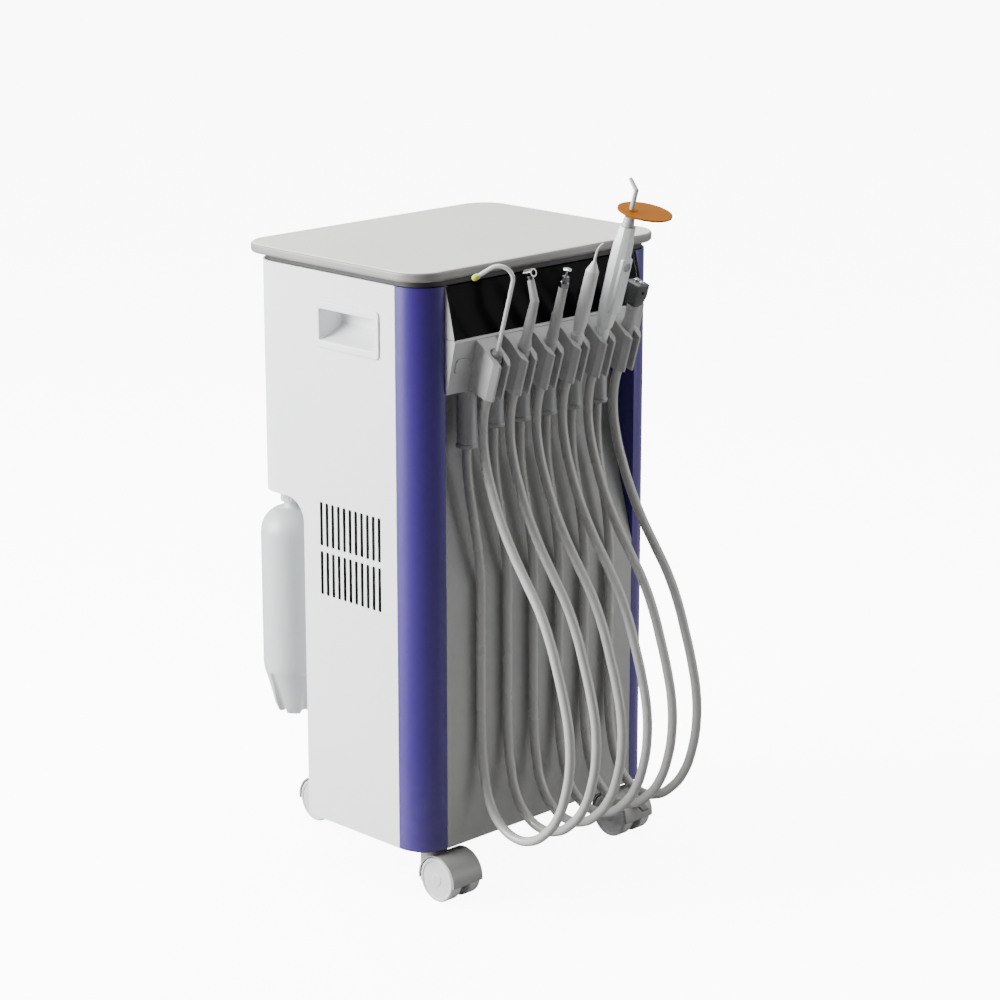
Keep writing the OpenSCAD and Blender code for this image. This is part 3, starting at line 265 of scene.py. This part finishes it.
shade = floor_coat.node_tree
floor_shader = shade.nodes["Principled BSDF"]
direct = add_node(shade, "ShaderNodeLightPath").outputs["Is Camera Ray"]
pale = floor_shader.inputs["Base Color"].links[0].from_socket
thrown = add_node(shade, "ShaderNodeMix",
                  {"Factor": direct, "A": (floor_bounce, floor_bounce, floor_bounce, 1),
                   "B": pale}, data_type="RGBA")
shade.links.new(thrown.outputs["Result"], floor_shader.inputs["Base Color"])
floor_shader.inputs["Emission Color"].default_value = (1, 1, 1, 1)
shade.links.new(math_node(shade, "MULTIPLY", direct, floor_glow),
                floor_shader.inputs["Emission Strength"])

bpy.ops.object.select_all(action="DESELECT")
bpy.ops.mesh.primitive_plane_add(size=60, location=(0, 0, 0))
floor = bpy.context.object
floor.name = "floor"
floor.data.materials.append(floor_coat)

world = bpy.data.worlds.new("studio")
bpy.context.scene.world = world
world.use_nodes = True
walls = world.node_tree
plain = walls.nodes["Background"]
plain.inputs["Color"].default_value = (1, 1, 1, 1)
facing = add_node(walls, "ShaderNodeVectorMath",
                  {0: add_node(walls, "ShaderNodeTexCoord").outputs["Generated"],
                   1: (-0.68, -0.73, 0.0)}, operation="DOT_PRODUCT")
front_share = add_node(walls, "ShaderNodeMapRange",
                       {"Value": facing.outputs["Value"], "From Min": 0.05, "From Max": 0.7,
                        "To Min": wall_strength, "To Max": dark_wall_strength},
                       interpolation_type="SMOOTHSTEP")
walls.links.new(front_share.outputs["Result"], plain.inputs["Strength"])
backdrop = add_node(walls, "ShaderNodeBackground",
                    {"Color": (1, 1, 1, 1), "Strength": backdrop_strength})
seen = add_node(walls, "ShaderNodeMixShader",
                {0: add_node(walls, "ShaderNodeLightPath").outputs["Is Camera Ray"],
                 1: plain.outputs[0], 2: backdrop.outputs[0]})
walls.links.new(seen.outputs[0], walls.nodes["World Output"].inputs["Surface"])


def soft_light(name, place, aim, side, power):
    """A square lamp that faces a point of the cabinet."""
    bpy.ops.object.select_all(action="DESELECT")
    bpy.ops.object.light_add(type="AREA", location=place)
    light = bpy.context.object
    light.name = name
    light.rotation_euler = (Vector(aim) - Vector(place)).to_track_quat("-Z", "Y").to_euler()
    light.data.shape = "SQUARE"
    light.data.size = side
    light.data.energy = power


soft_light("key", (-2.9, 1.9, 1.6), (0, 0.1, 0.42), 2.4, 500)
soft_light("right", (2.6, -2.8, 1.1), (0, 0, 0.45), 2.4, 45)
soft_light("overhead", (0.2, 0.5, 3.0), (0, 0, 0.5), 2.6, 110)

# ---- Base plate ----
# The welded steel plate that carries the machines, with a boss for each caster's stem. It stands
# back under the panels and is coated in a matt dark grey.
base_coat = finish("base_coat", (0.20, 0.205, 0.21), 0.55, 500, 0.5, 0.2, dust=0.6)


def stand_for(piece, node, material):
    """Lets a piece stand for a node, in its body, with the given material."""
    piece.data.materials.clear()
    piece.data.materials.append(material)
    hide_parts(node)
    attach(piece, frame["nodes"][node]["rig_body"])


def round_edges(piece, edge, segments, sharp, miter="MITER_SHARP"):
    """Rounds the edges that turn by more than sharp degrees, and shades the piece smooth."""
    only(piece)
    if edge:
        rounding = piece.modifiers.new("edges", "BEVEL")
        rounding.width = edge
        rounding.segments = segments
        rounding.limit_method = "ANGLE"
        rounding.angle_limit = math.radians(sharp)
        rounding.use_clamp_overlap = True
        rounding.miter_outer = miter
        bpy.ops.object.modifier_apply(modifier="edges")
    bpy.ops.object.shade_smooth_by_angle(angle=math.radians(sharp))


def dress(node, material, edge=0.0006, segments=2, sharp=35, merge=True):
    """Stands a copy with softened edges in for a node; merge joins its flat triangles."""
    piece = bpy.data.objects.new(node + "_finished", frame["nodes"][node].data.copy())
    bpy.context.collection.objects.link(piece)
    merge_doubles(piece, 0.000005)
    if merge:
        bpy.ops.object.mode_set(mode="EDIT")
        bpy.ops.mesh.dissolve_limited(angle_limit=math.radians(1.5))
        bpy.ops.object.mode_set(mode="OBJECT")
    round_edges(piece, edge, segments, sharp, "MITER_ARC")
    evening = piece.modifiers.new("flats", "WEIGHTED_NORMAL")
    evening.keep_sharp = True
    bpy.ops.object.modifier_apply(modifier="flats")
    stand_for(piece, node, material)
    return piece


dress("base_plate", base_coat, 0.0008)

# ---- Casters ----
# Twin-wheel swivel casters of moulded nylon: a hood with its stem, and two wheels pressed on one
# axle. The front right one has a foot brake with a tough dark tread.
# The hood and stem get a much darker grey than the wheels, though both are the same nylon: painted
# shade on the hood, which faces the dim front.
hood_grey_painted_shade = finish("caster_nylon_painted_shade", (0.25, 0.26, 0.26), 0.42, 1200, 0.35, 0.15, 0.14, 0.1,
                     dust=0.5)
wheel_grey = finish("wheel_nylon", (0.62, 0.63, 0.645), 0.38, 1200, 0.25, 0.12, 0.14, 0.1,
                    dust=0.35)
tread_dark = finish("brake_tread", (0.05, 0.05, 0.052), 0.32, 900, 0.3, 0.2, 0.15, 0.1, dust=0.4)

for corner in ("front_left", "front_right", "rear_left", "rear_right"):
    dress("caster_" + corner, hood_grey_painted_shade, 0.0007)
    dress("wheels_" + corner, wheel_grey, 0.0004)
dress("brake_pedal", tread_dark, 0.0008, segments=3)

# ---- Machines inside ----
# The compressor, the air tank, the suction pump and the control unit stand on the base plate and
# a shelf, where no panel opens on them. They keep the model's own shapes.
machine_paint = finish("machine_paint", (0.18, 0.19, 0.20), 0.5, 300, 0.5, 0.3, drift=0.1, dust=0.3)
tank_paint = finish("tank_paint", (0.72, 0.73, 0.74), 0.4, 400, 0.2, 0.3, drift=0.05, dust=0.3)
board_lacquer = finish("board_lacquer", (0.03, 0.12, 0.06), 0.4, 300, 0.2, 0.1, drift=0.1)

for node, material in (("compressor", machine_paint), ("air_tank", tank_paint),
                       ("suction_pump", machine_paint), ("control_unit", board_lacquer)):
    frame["nodes"][node].data.materials.clear()
    frame["nodes"][node].data.materials.append(material)

# ---- Panels, rear cover and bottle bays ----
# Bent steel sheet, powder coated in white with the faint orange peel that the coating leaves. The
# front panel is coated in a cooler, darker grey.
white_coat = finish("white_powder_coat", (0.80, 0.815, 0.825), 0.42, 1600, 0.15, 0.35, 0.10, 0.03,
                    dust=0.22)
grey_coat = finish("grey_powder_coat", (0.32, 0.325, 0.32), 0.42, 1600, 0.15, 0.35, 0.10, 0.05,
                   dust=0.3)
# Near black for the inner walls of the vent slots: painted shade, standing in for the dark inside
# the slots.
slot_wall_painted_shade = finish("slot_wall_painted_shade", (0.01, 0.01, 0.011), 0.7, 1500, 0.5, 0.3, 0.05, 0.05, dust=0.0)
vents_y = front_y + 0.128
slots_y = (vents_y - 0.060, vents_y + 0.060)
slot_pitch = 0.0106
slot_growth = 1.28
slots_z = (0.366, 0.490)


def paint(piece, material, chosen):
    """Gives a second material to the faces whose middle and normal are chosen."""
    piece.data.materials.append(material)
    for face in piece.data.polygons:
        if chosen(face.center, face.normal):
            face.material_index = len(piece.data.materials) - 1


def in_vents(at):
    return slots_y[0] < at.y < slots_y[1] and slots_z[0] < at.z < slots_z[1]


for node in ("side_panel_left", "side_panel_right"):
    panel = dress(node, white_coat, 0.0003)
    for corner in panel.data.vertices:
        if in_vents(corner.co):
            middle = vents_y + round((corner.co.y - vents_y) / slot_pitch) * slot_pitch
            corner.co.y = middle + slot_growth * (corner.co.y - middle)
    # The slots' inner walls take the near-black material as painted shade, so the slots read dark
    # right through.
    paint(panel, slot_wall_painted_shade,
          lambda at, way: abs(way.x) < 0.3 and abs(at.x) > 0.2 and in_vents(at))
for node in ("rear_cover", "bottle_bay_left", "bottle_bay_right"):
    dress(node, white_coat, 0.0007)
dress("front_panel", grey_coat, 0.0008)

# ---- Dark sheets behind the vents ----
# A thin black pad with a waffle face stands just inside each side panel, behind the slots, as
# painted shade, so that the slots show dark. The waffle face lies toward the slots.
vent_shade_black = finish("vent_shade_black", (0.012, 0.012, 0.013), 0.9, 1500, 1.0, 0.8, 0.05, 0.1,
                     dust=0.0)
mat_size = (0.124, 0.134)
mat_z = 0.428
mat_gap = 0.0016
mat_t = 0.004
waffles = (20, 22)
waffle_depth = 0.0012

for side, name in ((-1, "left"), (1, "right")):
    inner_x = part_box("side_panel_" + name)[1 if side > 0 else 0].x - side * 0.0025
    face_x = inner_x - side * mat_gap
    bpy.ops.object.select_all(action="DESELECT")
    bpy.ops.mesh.primitive_grid_add(
        x_subdivisions=waffles[0], y_subdivisions=waffles[1], size=1,
        location=(face_x, vents_y, mat_z), rotation=(0, side * math.pi / 2, 0))
    mat = bpy.context.object
    mat.name = "vent_shade_sheet_" + name
    mat.scale = (mat_size[1], mat_size[0], 1)
    bpy.ops.object.transform_apply(location=True, rotation=True, scale=True)
    bpy.ops.object.mode_set(mode="EDIT")
    bpy.ops.mesh.select_mode(type="FACE")
    bpy.ops.mesh.select_all(action="SELECT")
    bpy.ops.mesh.inset(use_individual=True, thickness=0.0013)
    bpy.ops.transform.translate(value=(-side * waffle_depth, 0, 0))
    bpy.ops.object.mode_set(mode="OBJECT")
    thick = mat.modifiers.new("pad", "SOLIDIFY")
    thick.thickness = mat_t
    thick.offset = -1
    bpy.ops.object.modifier_apply(modifier="pad")
    mat.data.materials.append(vent_shade_black)
    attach(mat, "cabinet")

# ---- Carry handles ----
# Flush handles moulded in white plastic and snapped into the side panels, each a framed pocket
# whose floor slopes up to the back, deep enough for the fingers.
handle_white = finish("handle_plastic", (0.80, 0.81, 0.82), 0.36, 1100, 0.2, 0.1, 0.1, 0.04,
                      dust=0.15)
dress("carry_handles", handle_white, 0.0014, segments=3, merge=False)

# ---- Corner columns ----
# Quarter-round aluminium extrusions, lacquered in a deep blue purple with a satin shine.
purple_lacquer = finish("purple_lacquer", (0.030, 0.010, 0.165), 0.34, 700, 0.05, 0.10, 0.07, 0.05,
                        second=(0.07, 0.04, 0.27), dust=0.1,
                        fixed={"Coat Weight": 0.2, "Coat Roughness": 0.15})
dress("column_left", purple_lacquer, 0.0007)
dress("column_right", purple_lacquer, 0.0007)

# ---- Worktop ----
# A laminated board with rounded edges, finely speckled, on a dark plate that stands back and
# shows as a shadow gap.
laminate = finish("worktop_laminate", (0.655, 0.645, 0.62), 0.45, 2600, 0.3, 0.1, 0.12, 0.05,
                  second=(0.50, 0.49, 0.47), fleck_size=1300, flecks=0.35, dust=0.0)
seal_rubber = finish("seal_rubber", (0.02, 0.02, 0.021), 0.6, 900, 0.5, 0.2, dust=0.2)
edge_band = finish("edge_band", (0.22, 0.215, 0.205), 0.42, 1500, 0.3, 0.2, 0.1, 0.05, dust=0.0)
board = dress("worktop", laminate, 0)
paint(board, edge_band, lambda at, way: way.z < 0.75)
dress("top_plate", seal_rubber, 0.0008)

# ---- Console ----
# The moulded frame under the worktop, its sloping fascia in gloss black, and the bar below it
# that carries the holders and a push button.
console_plastic = finish("console_plastic", (0.40, 0.41, 0.405), 0.34, 1300, 0.2, 0.1, 0.1, 0.05,
                         dust=0.1)
fascia_gloss = finish("fascia_gloss", (0.002, 0.002, 0.0025), 0.16, 300, 0.02, 0.02, 0.08, 0.0,
                      dust=0.0, fixed={"Specular IOR Level": 0.02})
cheeks = dress("console_frame", console_plastic, 0.001)
paint(cheeks, fascia_gloss, lambda at, way: way.y < -0.5)
dress("control_fascia", fascia_gloss, 0.0009)
dress("holder_bar", console_plastic, 0.0014, segments=3)
dress("bar_button", console_plastic, 0.0008)

# ---- Instrument holders and glands ----
# Six forked holders moulded in one with the bar's front, and the turned sleeves below the bar
# that the hoses leave. The first sleeve holds the suction valve and is darker.
holder_plastic = finish("holder_plastic", (0.34, 0.345, 0.34), 0.32, 1300, 0.2, 0.1, 0.1, 0.05,
                        dust=0.1)
gland_plastic = finish("gland_plastic", (0.36, 0.365, 0.37), 0.4, 1100, 0.25, 0.1, 0.1, 0.06)
dress("instrument_holders", holder_plastic, 0.0014, segments=3)
dress("hose_glands", gland_plastic, 0.0009, segments=3)

# ---- Saliva ejector ----
# A dark valve handle, a clear tube that is bent over like a cane, and its lime rubber tip.
sleeve_grey = finish("sleeve_grey", (0.34, 0.345, 0.34), 0.36, 1500, 0.2, 0.1, 0.1, 0.08)
valve_grey = finish("valve_grey", (0.16, 0.165, 0.165), 0.36, 1500, 0.2, 0.1, 0.1, 0.08)
clear_tube = finish("clear_tube", (0.66, 0.68, 0.67), 0.16, 500, 0.05, 0.3, 0.06, 0.08, dust=0.0,
                    fixed={"Transmission Weight": 0.15, "Coat Weight": 0.3,
                           "Coat Roughness": 0.08})
lime_rubber = finish("lime_rubber", (0.50, 0.60, 0.01), 0.5, 800, 0.2, 0.1, 0.05, 0.05, dust=0.0)
hold_y = front_y - 0.020
hold_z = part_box("holder_bar")[0].z - 0.007
instrument_lean = math.radians(16.3)
cane_turn = math.radians(135)
cane_sweep = 135
cane_r = 0.017
cane_foot, cane_bend = 0.058, 0.152
cane_end = 0.020


def settle(piece, number):
    """Leans a piece, modelled upright at the origin, into its place on an instrument."""
    only(piece)
    piece.rotation_euler = (instrument_lean, 0, 0)
    piece.location = ((number - 2.5) * holder_pitch, hold_y, hold_z)
    bpy.ops.object.transform_apply(location=True, rotation=True, scale=True)


def drawn(name, path, widths, sides=8):
    """A rod along a path, whose radius at each point is given; returns it as a mesh."""
    line = bpy.data.curves.new(name, "CURVE")
    line.dimensions = "3D"
    spline = line.splines.new("POLY")
    spline.points.add(len(path) - 1)
    for knot, point, width in zip(spline.points, path, widths):
        knot.co = (*point, 1)
        knot.radius = width
    line.bevel_depth = 1
    line.bevel_resolution = sides
    line.use_fill_caps = True
    rod = bpy.data.objects.new(name, line)
    bpy.context.collection.objects.link(rod)
    only(rod)
    bpy.ops.object.convert(target="MESH")
    merge_doubles(rod, 0.000001)
    bpy.ops.object.mode_set(mode="EDIT")
    bpy.ops.mesh.normals_make_consistent(inside=False)
    bpy.ops.object.mode_set(mode="OBJECT")
    bpy.ops.object.shade_smooth_by_angle(angle=math.radians(40))
    return rod


def bent_over(ahead, height):
    """A point in the cane's own upright plane, ahead of its foot by so much."""
    return (ahead * math.cos(cane_turn), ahead * math.sin(cane_turn), height)


cane = [bent_over(0, cane_foot), bent_over(0, cane_bend)]
for step in range(5, cane_sweep + 1, 5):
    angle = math.radians(step)
    cane.append(bent_over(cane_r - cane_r * math.cos(angle), cane_bend + cane_r * math.sin(angle)))
out_way = (math.sin(math.radians(cane_sweep)), math.cos(math.radians(cane_sweep)))
mouth = (cane_r - cane_r * math.cos(math.radians(cane_sweep)),
         cane_bend + cane_r * math.sin(math.radians(cane_sweep)))


def past_bend(far):
    """A point so far beyond the end of the bend, along the mouthpiece."""
    return bent_over(mouth[0] + far * out_way[0], mouth[1] + far * out_way[1])


cane.append(past_bend(cane_end))
tube = drawn("ejector_cane", cane, [0.0026] * len(cane))
settle(tube, 0)
stand_for(tube, "ejector_tube", clear_tube)
rings = [(0.0172, 0.0031), (0.0180, 0.0036), (0.0225, 0.0039), (0.0245, 0.0034), (0.0258, 0.0022)]
tip = drawn("ejector_mouthpiece", [past_bend(far) for far, _ in rings],
            [width for _, width in rings], 10)
settle(tip, 0)
stand_for(tip, "ejector_tip", lime_rubber)
dress("ejector_valve", valve_grey, 0.0006)

# ---- Turbine and straight handpiece ----
# Satin metal sleeves with eight flats, the turbine's with a small steel head, the straight one's
# with a steel chuck and a polishing disc.
polished = finish("polished_steel", (0.58, 0.59, 0.61), 0.14, 500, 0.05, 0.05, 0.08, 0.05,
                  dust=0.0, fixed={"Metallic": 1.0})
dark_steel = finish("dark_steel", (0.22, 0.22, 0.23), 0.2, 500, 0.05, 0.05, 0.08, 0.05,
                    dust=0.0, fixed={"Metallic": 1.0})
dress("turbine_sleeve", sleeve_grey, 0.0004, sharp=22)
dress("turbine_head", dark_steel, 0.0004)
dress("motor_sleeve", sleeve_grey, 0.0004, sharp=22)
dress("motor_chuck", dark_steel, 0)
dress("polishing_disc", polished, 0)

# ---- Scaler ----
# A pale moulded sleeve with eight flats, and a cone in the same grey that ends in a bent steel tip.
scaler_grey = finish("scaler_grey", (0.56, 0.57, 0.565), 0.34, 1500, 0.2, 0.1, 0.1, 0.05, dust=0.0)
scaler_l = 0.146
cone_profile = [(0, 0.0080), (0.0006, 0.0082), (0.0135, 0.0021), (0.0145, 0.0017), (0.024, 0.0014)]
tip_bend_r = 0.022
tip_sweep = 48

dress("scaler_sleeve", scaler_grey, 0.0005, sharp=22)
path = [(0, 0, scaler_l + up) for up, _ in cone_profile]
widths = [width for _, width in cone_profile]
for step in range(4, tip_sweep + 1, 4):
    angle = math.radians(step)
    path.append((0, -tip_bend_r * (1 - math.cos(angle)),
                 scaler_l + cone_profile[-1][0] + tip_bend_r * math.sin(angle)))
    widths.append(0.0014 - 0.0008 * step / tip_sweep)
tip = drawn("scaler_point", path, widths)
settle(tip, 3)
stand_for(tip, "scaler_tip", scaler_grey)

# ---- Curing light ----
# A glossy white body with eight flats, a step near its top and a raised front panel, a satin rod
# that bends at the tip, and an amber shield that keeps the blue light from the eyes.
light_white = finish("light_white", (0.74, 0.76, 0.76), 0.2, 900, 0.08, 0.08, 0.08, 0.03, dust=0.0)
rod_satin = finish("rod_satin", (0.42, 0.43, 0.45), 0.3, 900, 0.1, 0.05, 0.08, 0.05, dust=0.0)
amber = finish("amber_plastic", (0.27, 0.085, 0.0), 0.4, 300, 0.02, 0.1, 0.05, 0.08, dust=0.0,
               second=(0.21, 0.055, 0.0), fixed={"Specular IOR Level": 0.05})
seat_r, seat_l = 0.0081, 0.066
light_rings = [(0.064, 0.0090), (0.067, 0.0106), (0.079, 0.0120), (0.095, 0.0132),
               (0.150, 0.0137), (0.176, 0.0129), (0.1835, 0.0123), (0.185, 0.0112),
               (0.200, 0.0106)]
panel_size = (0.0175, 0.008, 0.074)
panel_at = (0, -0.0102, 0.124)
panel_edge = 0.0022
trigger_at = (0, -0.0137, 0.150)
trigger_hole, trigger_depth = 0.0058, 0.0125


def pick_faces(piece, chosen):
    """Selects the faces whose middle and normal are chosen, and leaves the piece in edit mode."""
    bpy.ops.object.mode_set(mode="EDIT")
    bpy.ops.mesh.select_mode(type="FACE")
    bpy.ops.mesh.select_all(action="DESELECT")
    bpy.ops.object.mode_set(mode="OBJECT")
    for face in piece.data.polygons:
        face.select = chosen(face.center, face.normal)
    bpy.ops.object.mode_set(mode="EDIT")


def grip(name, rings, sides=8):
    """A grip with flats: a short prism whose top face is extruded and resized ring by ring."""
    (low, first), (high, second) = rings[:2]
    bpy.ops.object.select_all(action="DESELECT")
    bpy.ops.mesh.primitive_cylinder_add(
        vertices=sides, radius=first, depth=high - low, location=(0, 0, (low + high) / 2),
        rotation=(0, 0, math.pi / sides))
    piece = bpy.context.object
    piece.name = name
    bpy.ops.object.transform_apply(location=True, rotation=True, scale=True)
    pick_faces(piece, lambda at, way: way.z > 0.9)
    bpy.ops.transform.resize(value=(second / first, second / first, 1),
                             center_override=(0, 0, high))
    for (below, before), (above, after) in zip(rings[1:], rings[2:]):
        bpy.ops.mesh.extrude_region_move(
            TRANSFORM_OT_translate={"value": (0, 0, above - below)})
        bpy.ops.transform.resize(value=(after / before, after / before, 1),
                                 center_override=(0, 0, above))
    bpy.ops.object.mode_set(mode="OBJECT")
    return piece


def carve(piece, radius, depth, place, rotation=(0, 0, 0)):
    """Cuts a round hole; the cutter is gone afterwards."""
    bpy.ops.object.select_all(action="DESELECT")
    bpy.ops.mesh.primitive_cylinder_add(vertices=40, radius=radius, depth=depth, location=place,
                                        rotation=rotation)
    cutter = bpy.context.object
    only(piece)
    cut = piece.modifiers.new("hole", "BOOLEAN")
    cut.operation = "DIFFERENCE"
    cut.object = cutter
    cut.solver = "EXACT"
    bpy.ops.object.modifier_apply(modifier="hole")
    bpy.data.objects.remove(cutter)


body = grip("curing_light_body", light_rings)
bpy.ops.object.select_all(action="DESELECT")
bpy.ops.mesh.primitive_cube_add(size=1, location=panel_at)
panel = bpy.context.object
panel.scale = panel_size
bpy.ops.object.transform_apply(location=True, rotation=True, scale=True)
bpy.ops.object.mode_set(mode="EDIT")
bpy.ops.mesh.select_all(action="SELECT")
bpy.ops.mesh.bevel(offset=panel_edge, segments=3, affect="EDGES")
bpy.ops.object.mode_set(mode="OBJECT")
only(body)
fuse = body.modifiers.new("panel", "BOOLEAN")
fuse.operation = "UNION"
fuse.object = panel
fuse.solver = "EXACT"
bpy.ops.object.modifier_apply(modifier="panel")
bpy.data.objects.remove(panel)
carve(body, trigger_hole, trigger_depth, trigger_at, (math.pi / 2, 0, 0))
round_edges(body, 0.0006, 3, 22)
bpy.ops.object.select_all(action="DESELECT")
bpy.ops.mesh.primitive_cylinder_add(vertices=48, radius=seat_r, depth=seat_l,
                                    location=(0, 0, seat_l / 2))
seat = bpy.context.object
round_edges(seat, 0.0005, 3, 30)
only(body)
seat.select_set(True)
bpy.ops.object.join()
bpy.ops.object.transform_apply(location=True, rotation=True, scale=True)
settle(body, 4)
stand_for(body, "light_body", light_white)
dress("light_trigger", sleeve_grey, 0.0005)
dress("light_guide", rod_satin, 0.0004)
dress("light_shield", amber, 0.0006)

# ---- Syringe ----
# A grey sleeve and a dark head that widens upward, with one button for air and one for water.
syringe_dark = finish("syringe_dark", (0.045, 0.046, 0.047), 0.34, 1300, 0.25, 0.1, 0.1, 0.05,
                      dust=0.0)
syringe_l, head_h = 0.088, 0.030
neck_size, crown_size = (0.0165, 0.0175), (0.0215, 0.0235)
crown_z, crown_shift = 0.014, 0.001
button_wells, well_r, well_depth = (-0.005, 0.004), 0.0035, 0.006
nozzle_r, nozzle_depth, nozzle_at = 0.0022, 0.012, (0, -0.0115, syringe_l + 0.019)

dress("syringe_body", sleeve_grey, 0.0005)
bpy.ops.object.select_all(action="DESELECT")
bpy.ops.mesh.primitive_cube_add(size=1, location=(0, 0, syringe_l + crown_z / 2))
head = bpy.context.object
head.name = "syringe_head_block"
head.scale = (*neck_size, crown_z)
bpy.ops.object.transform_apply(location=True, rotation=True, scale=True)
pick_faces(head, lambda at, way: way.z > 0.9)
bpy.ops.transform.resize(value=(crown_size[0] / neck_size[0], crown_size[1] / neck_size[1], 1),
                         center_override=(0, 0, syringe_l + crown_z))
bpy.ops.transform.translate(value=(0, crown_shift, 0))
bpy.ops.mesh.extrude_region_move(TRANSFORM_OT_translate={"value": (0, 0, head_h - crown_z)})
bpy.ops.object.mode_set(mode="OBJECT")
round_edges(head, 0.0024, 3, 20)
for well in button_wells:
    carve(head, well_r, 2 * well_depth, (0, well, syringe_l + head_h))
carve(head, nozzle_r, nozzle_depth, nozzle_at, (math.pi / 2, 0, 0))
bpy.ops.object.shade_smooth_by_angle(angle=math.radians(30))
settle(head, 5)
stand_for(head, "syringe_head", syringe_dark)
dress("air_button", polished, 0.0003)
dress("water_button", polished, 0.0003)

# ---- Bottles ----
# Two blow-moulded bottles of milky plastic with a lobed foot, screwed up into ribbed caps that
# are fixed under the cabinet.
milky = finish("milky_plastic", (0.50, 0.515, 0.525), 0.36, 260, 0.05, 0.8, 0.08, 0.06, dust=0.1,
               fixed={"Subsurface Weight": 0.15, "Subsurface Scale": 0.01})
cap_grey = finish("cap_grey", (0.55, 0.56, 0.57), 0.42, 900, 0.3, 0.1, 0.1, 0.06)
dress("bottle_left", milky, 0)
dress("bottle_right", milky, 0)
dress("bottle_caps", cap_grey, 0.0005)

# ---- Mains inlet and rocker ----
# The dark moulded inlet at the foot of the rear cover, with its three pins, and the green rocker.
inlet_dark = finish("inlet_dark", (0.028, 0.028, 0.031), 0.4, 900, 0.35, 0.1, dust=0.3)
rocker_green = finish("rocker_green", (0.02, 0.16, 0.05), 0.25, 700, 0.1, 0.1, dust=0.0)
dress("mains_inlet", inlet_dark, 0.0005)
dress("power_switch", rocker_green, 0.0004)
